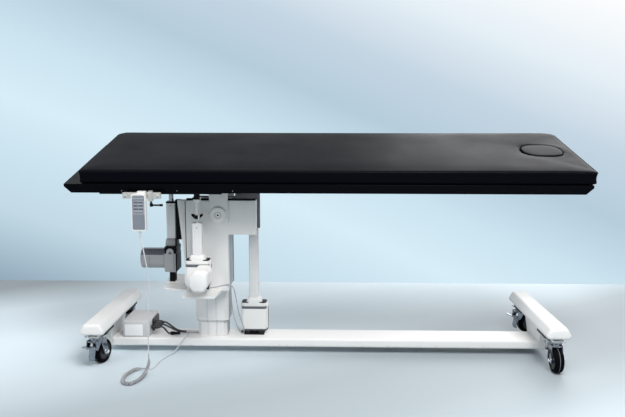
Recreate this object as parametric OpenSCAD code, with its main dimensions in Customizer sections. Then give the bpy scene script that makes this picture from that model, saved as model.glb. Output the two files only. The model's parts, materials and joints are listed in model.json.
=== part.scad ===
// Radiography table: a carbon top on one telescoping column, with a low cantilever base on casters.
// The column axis is the working centre; every piece is then carried to the home point, which lies
// on the floor under the middle of the top. X runs along the top towards the foot end, Y to the rear.

/* [Tabletop] */
// Length of the carbon top
top_l = 2134; // [1900:2:2300]
// Width of the carbon top and the pad
top_w = 610; // [540:2:660]
// Thickness of the carbon top
top_t = 38; // [30:1:46]
// How far the top reaches past the column towards the head end
head_reach = 550; // [500:2:600]
// Radius of the top's rear corners in plan
top_corner_r = 50; // [20:1:70]
// Height and depth of the chamfer under each end of the top
end_chamfer = 27; // [10:1:29]
// Thickness of the pad at its crown
pad_t = 58; // [35:1:70]
// Rise of the pad's crown above its seams
pad_crown = 3; // [1:0.5:6]
// Bare carbon at the head end before the pad starts
pad_inset = 60; // [20:1:100]
// How far the pad passes the foot end of the top
pad_overhang = 14; // [4:1:30]
// Length of the lift-out face plug
plug_l = 172; // [150:1:220]
// Width of the lift-out face plug
plug_w = 168; // [140:1:200]
// Distance of the plug's centre from the pad's foot end
plug_from_end = 141; // [130:1:200]

/* [Height and tilts] */
// Height of the side tilt axis above the floor
roll_z = 790; // [788:0.5:800]
// Depth from the top's underside to the side tilt axis
roll_drop = 35; // [34:0.5:40]
// Side tilt at which the table stands
side_tilt = 13.5; // [0:0.5:14]
// Height of the end tilt axis above the floor
trend_z = 637; // [632:1:640]
// Distance of the end tilt axis from the column axis
trend_x = 46; // [40:1:52]
// Diameter of the end tilt trunnions
trunnion_d = 30; // [20:1:36]
// Diameter of the side tilt shaft
roll_shaft_d = 25; // [16:1:30]

/* [Column] */
// Width of the lower column stage
stage_w = 132; // [110:1:136]
// Depth of the lower column stage
stage_d = 106; // [90:1:110]
// Growth in half width from one stage to the next
stage_step = 8.5; // [7:0.1:9]
// Wall of each column stage
stage_wall = 4; // [3:0.1:5]
// Height of the lower stage's top above the floor
lower_top = 430; // [390:1:470]
// Height of the middle stage's lower edge at rest
middle_low = 143; // [120:1:240]
// Height of the middle stage's top at rest
middle_top = 593; // [540:1:600]
// Height of the upper stage's lower edge at rest
upper_low = 300; // [296:1:340]

/* [Carriage plates] */
// Thickness of the front and rear carriage plates
plate_t = 10; // [6:0.5:12]
// Left edge of the plates
plate_left = 98; // [92:1:102]
// Right edge of the plates below the arm
plate_right = 84; // [84:0.5:90]
// Right end of the arm that the lift drive pushes on
arm_right = 209; // [205:1:220]
// Height of the plates' lower edge
plate_low = 295; // [290:1:296]
// Height of the arm's lower edge
arm_low = 548; // [540:1:560]
// Height of the plates' upper edge
plate_top = 698; // [692:1:700]
// Depth of the spacer frame behind the front plate
spacer_d = 30; // [20:1:32]
// Wall of the spacer frame
spacer_wall = 12; // [8:0.5:14]

/* [Base] */
// Width of the base beam
beam_w = 144; // [130:1:148]
// How far the beam's centre line lies in front of the column axis
beam_y = 14; // [6:1:16]
// Height of the base beam
beam_h = 38; // [30:1:44]
// Clear height under the beam
beam_clear = 30; // [24:1:36]
// Wall of the base beam
beam_wall = 5; // [3:0.5:8]
// Distance of the head end foot from the column
foot_left = 468; // [460:1:480]
// Distance of the foot end foot from the column
foot_right = 1483; // [1300:1:1500]
// Thickness of the upright web under each foot cover
web_t = 40; // [24:1:44]
// Length of a foot cover
cover_l = 606; // [600:1:640]
// Width of a foot cover
cover_w = 104; // [96:1:110]
// Height of a foot cover
cover_h = 49; // [46:1:56]
// Wall of a foot cover
cover_wall = 3; // [2:0.2:4]

/* [Casters] */
// Diameter of the caster wheels
wheel_d = 104; // [98:1:104]
// Width of the caster wheels
wheel_w = 38; // [30:1:40]
// Distance of each swivel axis from the beam's centre line
caster_reach = 242; // [238:1:250]
// Trail from the swivel axis to the wheel axle
trail = 34; // [32:1:38]
// Height of the casters' top plates
caster_h = 133; // [131:1:136]

/* [Drives] */
// Width of a tilt drive housing
drive_w = 106; // [100:1:110]
// Depth of a drive housing along its motor
drive_d = 58; // [54:1:62]
// Height of a tilt drive housing
drive_h = 122; // [112:1:126]
// Height of the collar around each outer tube
collar_h = 26; // [16:1:28]
// Side of the square outer tubes
tube_w = 42; // [42:0.5:44]
// Wall of the outer tubes
tube_wall = 3; // [2:0.1:3.2]
// Length of a drive motor past its housing
motor_l = 116; // [100:1:120]
// Distance of the end tilt drive from the column axis
trend_drive_x = 197; // [195:1:200]
// Distance of the side tilt drive in front of the column axis
tilt_drive_y = 180; // [178:1:184]
// Distance of the side tilt drive from the column axis
tilt_drive_x = 35; // [30:1:40]
// Distance of the lift drive from the column axis
lift_drive_x = 187; // [184:1:190]
// Height of the lift drive's housing
lift_h = 140; // [132:1:150]
// Width of the lift drive's housing
lift_w = 118; // [108:1:120]

/* [Handset] */
// Height of the handset shell
handset_h = 150; // [140:1:170]
// Width of the handset shell
handset_w = 57; // [52:1:64]
// Thickness of the handset shell
handset_t = 24; // [20:1:28]
// Distance of the handset from the column
handset_x = 234; // [232:1:240]
// Diameter of the handset cord
cord_d = 4.5; // [4:0.1:4.6]
// Outer diameter of the curly part of the cord
curl_d = 16; // [14:0.5:16]
// Curls in the curly part of the cord
curls = 46; // [30:1:46]

/* [Hidden] */
$fn = 48;
fit = 0.05;
seat = 0.3;
slip = 0.6;
eps = 0.01;

top_under = roll_z + roll_drop;
top_z = top_under + top_t;
top_left = -head_reach;
top_right = top_l - head_reach;
pad_left = top_left + pad_inset;
pad_right = top_right + pad_overhang;
pad_l = pad_right - pad_left;
plug_x = pad_right - plug_from_end;

// Accessory rail on the front edge of the frame under the top
rail_h = 25;
rail_t = 10;
rail_from = -304;
rail_to = -150;
rail_gap = 21;
rail_y = -(top_w / 2 + rail_gap + rail_t / 2);
rail_z = top_under - 1;
rail_top_z = rail_z + rail_h / 2;
clamp_x = -192;
standoff_d = 14;
standoffs = [-286, -168];

// Frame under the top
frame_left = -374;
frame_right = 166;
frame_t = 8;
frame_inset = 20;
frame_under = top_under - frame_t;
channel_in = 128;
channel_w = 24;
channel_h = 27;
hanger_t = 16;
hanger_r = 30;
hangers = [-90, 148];
roll_tube_r = 24;
roll_tube_from = -60;
roll_tube_to = 134;

beam_top = beam_clear + beam_h;
beam_left = -foot_left + web_t / 2;
beam_right = foot_right - web_t / 2;
beam_r = 8;

// Tube across each foot, with the web under it and the cover over it
bar_w = 50;
bar_wall = 4;
bar_l = 2 * caster_reach + 92;
cover_under = caster_h + 13.5;
bar_top = cover_under + cover_h - cover_wall - seat;
web_reach = 124;

middle_w = stage_w + 2 * stage_step;
middle_d = stage_d + 2 * stage_step;
upper_w = middle_w + 2 * stage_step;
upper_d = middle_d + 2 * stage_step;
upper_top = plate_top - 8;
stage_chamfer = 14;
groove_w = 5;
groove_t = 2;
groove_x = 20;
cap_t = 8;
glide_h = 16;

spacer_back = -upper_d / 2;
front_back = spacer_back - spacer_d;
front_face = front_back - plate_t;
rear_face = upper_d / 2;
rear_back = rear_face + plate_t;
spacer_lean = 39;

cheek_gap = 2;
cheek_t = 10;
cheek_left = 7;
cheek_right = 88;
cheek_low = trend_z - 34;
front_cheek = front_face - cheek_gap - cheek_t;
rear_cheek = rear_back + cheek_gap;
bridge_z = roll_z - 45;
bridge_t = 12;
disc_d = 70;
disc_t = 8;

// End tilt drive
trend_drive_y = 50;
trend_pin_z = trend_z + 111;
trend_foot_z = plate_low + 45;
trend_tube_top = trend_foot_z + 334;
drive_pin_r = 5;
drive_lug_r = 12;
drive_lug_t = 22;
drive_lift = 12;
fork_gap = seat + 0.2;
trend_lug_t = 12;
trend_lug_r = 14;
rod_r = 7;
trend_rod_r = 11;
motor_w = 78;
motor_h = 94;
motor_z = 70;
tilt_motor_z = 62;
tilt_motor_side = 24;
shelf_t = 10;
shelf_rear = 205;

// Side tilt drive
tilt_shelf_z = plate_low + 9;
tilt_shelf_front = 241;
tilt_shelf_left = 95;
tilt_shelf_right = 45;
tilt_foot_z = tilt_shelf_z + 12 + drive_pin_r + 3;
tilt_rest_y = -tilt_drive_y * cos(side_tilt);
tilt_rest_z = roll_z - tilt_drive_y * sin(side_tilt);
tilt_tube_top = tilt_foot_z + 286;
cross_w = 18;
cross_r = 4;
yoke_t = 9;
rod_head_drop = 28;
wing_z = tilt_tube_top + 18;

// Lift drive
lift_low = beam_top + 17;
lift_pin_z = beam_top + 11;
lift_tube_top = arm_low + 8;
lift_eye_z = arm_low + 72;
band_h = 12;
band_from_top = 30;
band_t = 1.5;

// Casters: swivel position and the way each one trails
axle_z = wheel_d / 2;
crown_z = caster_h - 17.5;
crown_t = 8;
cheek_y = wheel_w / 2 + 3;
fork_t = 3;
paddle_in = 13;
kingpin_r = 6;
axle_r = 5;
pedal_x = -30;
pedal_z = 82;
front_left = [-foot_left, -caster_reach, 74];
front_right = [foot_right, -caster_reach, -90];
rear_left = [-foot_left, caster_reach, 100];
rear_right = [foot_right, caster_reach, 20];

// Control box on the beam
box_left = -407;
box_right = -281;
box_front = -80;
box_rear = 96;
box_h = 78;
box_w = box_right - box_left;
box_d = box_rear - box_front;
plug_ys = [-48, -14, 20];

// Handset, which hangs plumb from the tilted rail
rail_rest = turned([rail_y, rail_top_z]);
hook_z = rail_rest[1] + rail_t / 2 * sin(side_tilt) + seat;
handset_back = rail_rest[0] - rail_t / 2 * cos(side_tilt) - seat;
handset_front = handset_back - handset_t;
handset_top = hook_z - 4;
handset_low = handset_top - handset_h;
hook_w = 32;
hook_t = 4;
hook_throat = rail_t * cos(side_tilt) + rail_h * sin(side_tilt) + 0.6;
hook_drop = 17;
face_t = 2;
face_w = handset_w - 8;
face_h = handset_h - 12;
key_w = 16;
key_h = 7;
key_t = 3;
key_proud = 0.8;
key_row = 13.5;
key_gap = 22;
keys_top = 34;
relief_l = 26;

// The home point under the middle of the top and of the whole depth
rear_most = caster_reach + trail + wheel_d / 2 - 1;
home_x = -(top_left + pad_right) / 2;
home_y = -(handset_front + rear_most) / 2;

// Route of the cord from the handset to the start of its curly part
hang_route = [
    [-234, -350, 581], [-231, -351, 562], [-224, -354, 540], [-216, -357, 500], [-208, -359, 450],
    [-203, -360, 400], [-204, -360, 350], [-208, -360, 300], [-210, -360, 240], [-211, -361, 180],
    [-212, -361, 138], [-212, -361, 114], [-212, -361, 92]
];
// Route of the curly part, down to the floor and round
curl_route = [
    [-212, -361, 92], [-212, -361, 84], [-212, -361, 76], [-212, -363, 58], [-215, -369, 40],
    [-220, -380, 25], [-227, -396, 14], [-234, -416, 9], [-241, -437, 8.5], [-251, -457, 8.5],
    [-267, -467, 8.5], [-285, -460, 8.5], [-298, -441, 8.5], [-304, -416, 8.5], [-305, -388, 8.5],
    [-301, -360, 8.5], [-292, -334, 8.5], [-278, -313, 8.5], [-264, -305, 8.5], [-252, -304, 8.5],
    [-246, -304, 8.5], [-240, -304, 8.5]
];
// Route of the plain end, along the floor and up over the beam
lead_route = [
    [-240, -304, 8.5], [-235, -304, 8.5], [-230, -304, 8.5], [-220, -298, 5], [-215, -280, 3],
    [-211, -250, 3], [-206, -210, 3], [-197, -170, 3], [-184, -134, 3], [-171, -112, 6],
    [-157, -98, 20], [-142, -93, 42], [-127, -90, 63], [-114, -80, 76], [-109, -66, 79],
    [-114, -52, 77.5], [-126, -45, 77], [-138, -44, 77], [-144, -44, 77], [-150, -44, 77]
];
// Route of the drive leads, from the front drive to the beam
lead_one = [
    [23.3, -256, 346], [28, -256, 346], [33, -256, 346], [52, -243, 346], [70, -214, 344],
    [86, -178, 338], [96, -148, 322], [98, -127, 296], [97, -112, 262], [98, -100, 222],
    [102, -88, 180], [109, -74, 140], [118, -60, 110], [126, -46, 88], [130, -34, 76],
    [130, -24, 72.5], [130, -16, 72.5], [130, -8, 72.5]
];
lead_two = [
    [23.3, -248, 346], [28, -248, 346], [33, -248, 346], [55, -231, 346], [75, -200, 344],
    [93, -164, 338], [106, -134, 320], [112, -112, 290], [116, -96, 252], [120, -82, 212],
    [126, -70, 172], [134, -58, 138], [140, -48, 112], [142, -38, 90], [138, -30, 77],
    [138, -24, 72.5], [138, -16, 72.5], [138, -8, 72.5]
];
lead_d = 4;
cable_d = 8;

white = [0.91, 0.91, 0.90];
grey = [0.72, 0.73, 0.74];
steel = [0.78, 0.79, 0.80];
dark = [0.10, 0.10, 0.11];
vinyl = [0.05, 0.05, 0.06];

// A point of the level top, as [y, z], turned with the side tilt
function turned(p) = [
    p[0] * cos(side_tilt) - (p[1] - roll_z) * sin(side_tilt),
    roll_z + p[0] * sin(side_tilt) + (p[1] - roll_z) * cos(side_tilt)
];

// Vectors and smooth routes for the cords
function unit(v) = v / norm(v);
function at(p, i) = p[max(0, min(len(p) - 1, i))];
function spline(p, i, t) = let (a = at(p, i - 1), b = at(p, i), c = at(p, i + 1), d = at(p, i + 2))
    0.5 * (2 * b + (c - a) * t + (2 * a - 5 * b + 4 * c - d) * t * t
        + (3 * b - a - 3 * c + d) * t * t * t);
function smooth(p, steps) = concat(
    [for (i = [0 : len(p) - 2]) for (k = [0 : steps - 1]) spline(p, i, k / steps)], [at(p, len(p))]);
function heading(p, i) = unit(at(p, i + 1) - at(p, i - 1));
function square_to(v, t) = unit(v - (v * t) * t);
function sides(p, first, i = 0) = i >= len(p) ? [] : let (n = square_to(first, heading(p, i)))
    concat([n], sides(p, n, i + 1));
function run(p, i = 1, sum = 0) = i >= len(p) ? [sum]
    : concat([sum], run(p, i + 1, sum + norm(p[i] - p[i - 1])));

module home() {
    translate([home_x, home_y, 0]) children();
}

module tilted() {
    home() translate([0, 0, roll_z]) rotate([side_tilt, 0, 0]) translate([0, 0, -roll_z]) children();
}

module rounded(w, d, r) {
    square([w - 2 * r, d], center = true);
    square([w, d - 2 * r], center = true);
    for (x = [-1, 1], y = [-1, 1]) translate([x * (w / 2 - r), y * (d / 2 - r)]) circle(r);
}

module across_y(d, from, to) {
    translate([0, from, 0]) rotate([-90, 0, 0]) cylinder(d = d, h = to - from);
}

module across_x(d, from, to) {
    translate([from, 0, 0]) rotate([0, 90, 0]) cylinder(d = d, h = to - from);
}

// A plate cut from a profile drawn in X and Z, from y = from to y = to
module upright(from, to) {
    translate([0, to, 0]) rotate([90, 0, 0]) linear_extrude(to - from) children();
}

// A closed tube through rings of points
module skin(rings) {
    n = len(rings[0]);
    m = len(rings);
    points = [for (r = rings) for (p = r) p];
    walls = [for (i = [0 : m - 2]) for (k = [0 : n - 1]) let (a = i * n + k, b = i * n + (k + 1) % n)
        each [[a, b + n, b], [a, a + n, b + n]]];
    last = (m - 1) * n;
    caps = [for (k = [1 : n - 2]) each [[0, k, k + 1], [last, last + k + 1, last + k]]];
    polyhedron(points, concat(walls, caps), convexity = 8);
}

function ring(c, n, t, r, count) = let (b = cross(t, n))
    [for (k = [0 : count - 1]) c + r * (cos(360 * k / count) * n + sin(360 * k / count) * b)];

module cord(route, d, first, count = 8, steps = 2) {
    p = smooth(route, steps);
    n = sides(p, first);
    skin([for (i = [0 : len(p) - 1]) ring(p[i], n[i], heading(p, i), d / 2, count)]);
}

// Base
module base_beam() color(white) home()
    translate([beam_left, -beam_y, beam_clear + beam_h / 2]) rotate([90, 0, 90])
        linear_extrude(beam_right - beam_left) difference() {
            rounded(beam_w, beam_h, beam_r);
            rounded(beam_w - 2 * beam_wall, beam_h - 2 * beam_wall, beam_r - beam_wall);
        }

module crossbar(x) {
    translate([x, 0, 0]) {
        difference() {
            translate([-bar_w / 2, -bar_l / 2, caster_h]) cube([bar_w, bar_l, bar_top - caster_h]);
            translate([-bar_w / 2 + bar_wall, -bar_l / 2 - 1, caster_h + bar_wall])
                cube([bar_w - 2 * bar_wall, bar_l + 2, bar_top - caster_h - 2 * bar_wall]);
        }
        translate([-web_t / 2, 0, 0]) rotate([90, 0, 90]) linear_extrude(web_t) polygon([
            [-beam_y - beam_w / 2, beam_clear], [-beam_y + beam_w / 2, beam_clear],
            [web_reach, caster_h + 1], [-web_reach, caster_h + 1]
        ]);
    }
}

module foot_crossbars() color(white) home() {
    crossbar(-foot_left);
    crossbar(foot_right);
}

// A bullnosed cover: flat top, sloping shoulders, widest low down
module cover_side(w, shoulder) {
    hull() for (x = [-1, 1]) {
        translate([x * (w / 2 - shoulder), cover_h - 8]) circle(8, $fn = 32);
        translate([x * (w / 2 - 10), 16]) circle(10, $fn = 32);
        translate([x * (w / 2 - 7), 0]) square([8, 2], center = true);
    }
}

module cover_form() {
    intersection() {
        linear_extrude(cover_h) rounded(cover_w, cover_l, 24);
        upright(-cover_l / 2, cover_l / 2) cover_side(cover_w, 24);
        rotate([90, 0, 90]) translate([0, 0, -cover_w / 2]) linear_extrude(cover_w) cover_side(cover_l, 18);
    }
}

module foot_cover(x) {
    translate([x, 0, cover_under]) difference() {
        cover_form();
        translate([-bar_w / 2 - seat, -bar_l / 2 - seat, -1])
            cube([bar_w + 2 * seat, bar_l + 2 * seat, bar_top - cover_under + seat + 1]);
    }
}

module foot_cover_left() color(white) home() foot_cover(-foot_left);

module foot_cover_right() color(white) home() foot_cover(foot_right);

// Column
module stage_outline(w, d) {
    c = stage_chamfer;
    difference() {
        polygon([
            [-w / 2 + c, -d / 2], [w / 2 - c, -d / 2], [w / 2, -d / 2 + c], [w / 2, d / 2 - c],
            [w / 2 - c, d / 2], [-w / 2 + c, d / 2], [-w / 2, d / 2 - c], [-w / 2, -d / 2 + c]
        ]);
        for (x = [-1, 1], y = [-1, 1])
            translate([x * groove_x, y * d / 2]) square([groove_w, 2 * groove_t], center = true);
    }
}

module stage_hollow(w, d) {
    c = stage_chamfer - 1;
    polygon([
        [-w / 2 + c, -d / 2], [w / 2 - c, -d / 2], [w / 2, -d / 2 + c], [w / 2, d / 2 - c],
        [w / 2 - c, d / 2], [-w / 2 + c, d / 2], [-w / 2, d / 2 - c], [-w / 2, -d / 2 + c]
    ]);
}

module stage(w, d, from, to) {
    translate([0, 0, from]) linear_extrude(to - from) difference() {
        stage_outline(w, d);
        stage_hollow(w - 2 * stage_wall, d - 2 * stage_wall);
    }
}

// The glide strip inside a stage's lower edge, round the stage that it rides on
module glide(w, d, from) {
    translate([0, 0, from]) linear_extrude(glide_h) difference() {
        stage_hollow(w - 2 * stage_wall + eps, d - 2 * stage_wall + eps);
        stage_hollow(w - 2 * stage_step + slip, d - 2 * stage_step + slip);
    }
}

module column_lower() color(grey) home() stage(stage_w, stage_d, beam_top, lower_top);

module column_middle() color(grey) home() {
    stage(middle_w, middle_d, middle_low, middle_top);
    glide(middle_w, middle_d, middle_low);
}

module column_upper() color(grey) home() {
    stage(upper_w, upper_d, upper_low, upper_top);
    glide(upper_w, upper_d, upper_low);
    translate([0, 0, upper_top - cap_t]) linear_extrude(cap_t) stage_hollow(upper_w - 1, upper_d - 1);
}

// Carriage: an inverted L of two plates with a spacer frame behind the front one
module plate_outline() {
    polygon([
        [-plate_left, plate_low], [plate_right, plate_low], [plate_right, arm_low],
        [arm_right, arm_low], [arm_right, plate_top], [-plate_left, plate_top]
    ]);
}

module front_plate() color(white) home() difference() {
    upright(front_face, front_back) plate_outline();
    translate([trend_x, 0, trend_z]) across_y(trunnion_d + 2 * fit, front_face - 1, front_back + 1);
}

module rear_plate() color(white) home() difference() {
    upright(rear_face, rear_back) plate_outline();
    translate([trend_x, 0, trend_z]) across_y(trunnion_d + 2 * fit, rear_face - 1, rear_back + 1);
}

module spacer_frame() color(white) home() upright(front_back, spacer_back) difference() {
    polygon([
        [-plate_left, plate_low], [plate_right, plate_low], [plate_right, arm_low],
        [arm_right, arm_low], [arm_right, plate_top], [-plate_left - spacer_lean, plate_top]
    ]);
    polygon([
        [-plate_left + spacer_wall, plate_low + spacer_wall],
        [plate_right - spacer_wall, plate_low + spacer_wall],
        [plate_right - spacer_wall, arm_low + spacer_wall],
        [arm_right - spacer_wall, arm_low + spacer_wall],
        [arm_right - spacer_wall, plate_top - spacer_wall],
        [-plate_left + spacer_wall, plate_top - spacer_wall]
    ]);
}

module drive_shelves() color(white) home() {
    translate([0, 0, plate_low - shelf_t]) linear_extrude(shelf_t)
        polygon([
            [-trend_drive_x - 17, -62], [-plate_left, front_back], [-upper_w / 2 - 2, front_back],
            [-upper_w / 2 - 2, rear_back], [-upper_w / 2 - 30, shelf_rear], [-trend_drive_x - 50, shelf_rear]
        ]);
    translate([0, 0, tilt_shelf_z - shelf_t]) linear_extrude(shelf_t)
        polygon([
            [-tilt_shelf_left, -tilt_shelf_front], [tilt_shelf_right, -tilt_shelf_front],
            [tilt_shelf_right + 10, front_face], [-tilt_shelf_left + 2, front_face]
        ]);
}

// Drives: a housing with a band and a collar, a motor to one side and a lug below
module drive_band(w, h) {
    linear_extrude(h - band_from_top) rounded(w, drive_d, 16);
    translate([0, 0, h - band_from_top]) linear_extrude(band_h)
        rounded(w - 2 * band_t, drive_d - 2 * band_t, 15);
    translate([0, 0, h - band_from_top + band_h]) linear_extrude(band_from_top - band_h - 4)
        rounded(w, drive_d, 16);
    translate([0, 0, h - 4]) linear_extrude(4) rounded(w - 4, drive_d - 4, 14);
}

module drive_motor() {
    hull() {
        translate([0, drive_d / 2 + 1, 0]) rotate([90, 0, 0]) linear_extrude(2)
            rounded(motor_w, motor_h, 24, $fn = 32);
        for (x = [-1, 1]) translate([0, drive_d / 2 + motor_l - 20, 0]) {
            translate([x * (motor_w / 2 - 20), 0, motor_h / 2 - 24]) sphere(20, $fn = 24);
            translate([x * (motor_w / 2 - 22), 0, 22 - motor_h / 2]) sphere(18, $fn = 24);
        }
    }
}

module drive_housing(w, h, pocket, motor_up, motor_side = 0) {
    difference() {
        union() {
            drive_band(w, h);
            translate([motor_side, 0, motor_up]) drive_motor();
            translate([0, 0, h]) linear_extrude(collar_h) rounded(tube_w + 32, drive_d - 4, 12);
        }
        translate([0, 0, h]) linear_extrude(collar_h + 1) rounded(tube_w + slip, tube_w + slip, 5);
        translate([0, 0, h - pocket]) cylinder(r = tube_w / 2 - tube_wall - 1, h = pocket + 1);
    }
}

module drive_lug(up) {
    upright(-drive_lug_t / 2, drive_lug_t / 2) difference() {
        union() {
            circle(drive_lug_r);
            translate([-drive_lug_r, 0]) square([2 * drive_lug_r, up + 1]);
        }
        circle(drive_pin_r + fit);
    }
}

module outer_tube(from, to) {
    translate([0, 0, from]) linear_extrude(to - from) difference() {
        rounded(tube_w, tube_w, 5);
        rounded(tube_w - 2 * tube_wall, tube_w - 2 * tube_wall, 2);
    }
}

// A clevis foot: a base plate with two ears and the pin through them
module clevis_foot(rise) {
    inner = drive_lug_t / 2 + seat;
    ear = 6;
    translate([-24, -inner - ear - 6, -rise]) cube([48, 2 * (inner + ear + 6), 5]);
    for (y = [-inner - ear, inner]) upright(y, y + ear) union() {
        circle(drive_lug_r);
        translate([-drive_lug_r - 1, -rise]) square([2 * drive_lug_r + 2, rise]);
    }
    across_y(2 * drive_pin_r, -inner - ear - 4, inner + ear + 4);
    for (y = [-inner - ear - 4, inner + ear]) translate([0, y, 0]) across_y(15, 0, 4);
}

module drive_feet() color(dark) home() {
    translate([-trend_drive_x, trend_drive_y, trend_foot_z]) clevis_foot(trend_foot_z - plate_low);
    translate([-tilt_drive_x, tilt_rest_y, tilt_foot_z]) clevis_foot(tilt_foot_z - tilt_shelf_z);
}

module trend_motor_housing() color(grey) home()
    translate([-trend_drive_x, trend_drive_y, trend_foot_z]) {
        drive_lug(drive_lift);
        translate([0, 0, drive_lift]) rotate([0, 0, 90])
            drive_housing(drive_w, drive_h, 20, motor_z - drive_lift);
    }

module trend_outer_tube() color(grey) home()
    translate([-trend_drive_x, trend_drive_y, 0])
        outer_tube(trend_foot_z + drive_lift + drive_h, trend_tube_top);

module tilt_motor_housing() color(white) home()
    translate([-tilt_drive_x, tilt_rest_y, tilt_foot_z]) {
        drive_lug(drive_lift);
        translate([0, 0, drive_lift]) rotate([0, 0, 180])
            drive_housing(drive_w, drive_h, 60, tilt_motor_z - drive_lift, -tilt_motor_side);
        translate([0, -drive_d / 2 - 46, 346 - tilt_foot_z]) across_x(14, 0, tilt_drive_x + 23);
    }

module tilt_outer_tube() color(white) home()
    translate([-tilt_drive_x, tilt_rest_y, 0])
        outer_tube(tilt_foot_z + drive_lift + drive_h, tilt_tube_top);

module lift_motor_housing() color(white) home()
    translate([lift_drive_x, 0, lift_low]) {
        drive_housing(lift_w, lift_h, 60, 58);
        difference() {
            translate([-12, -drive_lug_t / 2, lift_pin_z - lift_low - 7])
                cube([24, drive_lug_t, lift_low - lift_pin_z + 8]);
            translate([0, 0, lift_pin_z - lift_low]) across_y(2 * drive_pin_r + 2 * fit, -20, 20);
        }
    }

module lift_outer_tube() color(grey) home()
    translate([lift_drive_x, 0, 0]) outer_tube(lift_low + lift_h, lift_tube_top);

module lift_foot_bracket() color(dark) home()
    translate([lift_drive_x, 0, 0]) {
        translate([-46, -30, beam_top]) cube([92, 60, 3]);
        translate([-lift_drive_x + 124, lead_one[len(lead_one) - 1][1], beam_top]) cube([22, 14, 9]);
        for (y = [-drive_lug_t / 2 - seat - 5, drive_lug_t / 2 + seat])
            translate([-20, y, beam_top]) cube([40, 5, 17 - seat]);
        translate([0, 0, lift_pin_z]) across_y(2 * drive_pin_r, -22, 22);
    }

// The rod that lifts the carriage, with the bar that carries the arm
module lift_rod() color(steel) home() translate([lift_drive_x, 0, 0]) {
    translate([0, 0, lift_low + lift_h - 12]) cylinder(r = 11, h = lift_eye_z - lift_low - lift_h + 12);
    translate([0, 0, lift_eye_z]) across_y(18, front_back, rear_face);
}

// Casters, drawn at the swivel axis with the wheel trailing towards +X
module placed(corner) {
    home() translate([corner[0], corner[1], 0]) rotate([0, 0, corner[2]]) children();
}

module caster_mount() {
    translate([-36, -34, caster_h - 4]) cube([72, 68, 4]);
    translate([0, 0, caster_h - 17]) cylinder(r = 31, h = 13);
    translate([0, 0, crown_z - crown_t - 2]) cylinder(r = kingpin_r, h = 12 + crown_t);
}

module caster_mounts() color(steel) {
    placed(front_left) caster_mount();
    placed(front_right) caster_mount();
    placed(rear_left) caster_mount();
    placed(rear_right) caster_mount();
}

module fork_cheek() {
    difference() {
        union() {
            hull() {
                translate([trail, axle_z]) circle(15);
                translate([-4, crown_z - 8]) square([38, 8]);
            }
            hull() {
                translate([pedal_x, pedal_z]) circle(8);
                translate([-36, crown_z - 8]) square([36, 8]);
            }
        }
        translate([trail, axle_z]) circle(axle_r + 0.02);
        translate([pedal_x, pedal_z]) circle(3 + fit);
    }
}

module fork() {
    translate([0, 0, crown_z - crown_t]) difference() {
        union() {
            cylinder(r = 29, h = crown_t - 0.2);
            translate([-36, -cheek_y - fork_t, 0]) cube([70, 2 * (cheek_y + fork_t), 4]);
        }
        translate([0, 0, -1]) cylinder(r = kingpin_r + fit, h = crown_t + 2);
    }
    for (y = [-cheek_y - fork_t, cheek_y]) upright(y, y + fork_t) fork_cheek();
    translate([trail, 0, axle_z]) {
        across_y(2 * axle_r, -cheek_y - fork_t - 2, cheek_y + fork_t + 2);
        for (y = [-cheek_y - fork_t - 7, cheek_y + fork_t]) translate([0, y, 0]) across_y(17, 0, 7);
    }
}

module wheel() {
    translate([trail, 0, axle_z]) rotate([-90, 0, 0]) rotate_extrude($fn = 72) polygon([
        [axle_r + fit, -wheel_w / 2], [14, -wheel_w / 2], [16, -wheel_w / 2 + 5], [33, -wheel_w / 2 + 5],
        [36, -wheel_w / 2], [wheel_d / 2 - 6, -wheel_w / 2 + 1], [wheel_d / 2 - 1.5, -wheel_w / 2 + 5],
        [wheel_d / 2, -wheel_w / 2 + 11], [wheel_d / 2, wheel_w / 2 - 11],
        [wheel_d / 2 - 1.5, wheel_w / 2 - 5],
        [wheel_d / 2 - 6, wheel_w / 2 - 1], [36, wheel_w / 2], [33, wheel_w / 2 - 5], [16, wheel_w / 2 - 5],
        [14, wheel_w / 2], [axle_r + fit, wheel_w / 2]
    ]);
}

// A twin pedal: the upper paddle locks, the lower one frees
module pedal() {
    half = cheek_y - seat;
    translate([pedal_x, 0, pedal_z]) {
        across_y(6, -cheek_y - fork_t - 3, cheek_y + fork_t + 3);
        upright(-half, half) union() {
            circle(7);
            polygon([[0, 7], [-12, 14], [-38, 19], [-45, 18], [-45, 14.5], [-38, 15], [-14, 9], [-5, -4]]);
        }
        upright(-paddle_in, paddle_in)
            polygon([[5, -4], [0, -20], [-6, -38], [-4, -52], [-8, -53], [-13, -38], [-9, -20], [-6, 2]]);
    }
}

module fork_front_left() color(steel) placed(front_left) fork();
module fork_front_right() color(steel) placed(front_right) fork();
module fork_rear_left() color(steel) placed(rear_left) fork();
module fork_rear_right() color(steel) placed(rear_right) fork();
module wheel_front_left() color(dark) placed(front_left) wheel();
module wheel_front_right() color(dark) placed(front_right) wheel();
module wheel_rear_left() color(dark) placed(rear_left) wheel();
module wheel_rear_right() color(dark) placed(rear_right) wheel();
module pedal_front_left() color(steel) placed(front_left) pedal();
module pedal_front_right() color(steel) placed(front_right) pedal();
module pedal_rear_left() color(steel) placed(rear_left) pedal();
module pedal_rear_right() color(steel) placed(rear_right) pedal();

// Control box with its plugs and cables
module control_box() color(white) home()
    translate([(box_left + box_right) / 2, (box_front + box_rear) / 2, beam_top]) {
        hull() {
            for (x = [-1, 1], y = [-1, 1])
                translate([x * (box_w / 2 - 12), y * (box_d / 2 - 12), box_h - 12]) sphere(12, $fn = 24);
            linear_extrude(2) rounded(box_w - 4, box_d - 4, 10, $fn = 24);
            translate([0, 0, 8]) linear_extrude(1) rounded(box_w, box_d, 12, $fn = 24);
        }
    }

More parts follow.
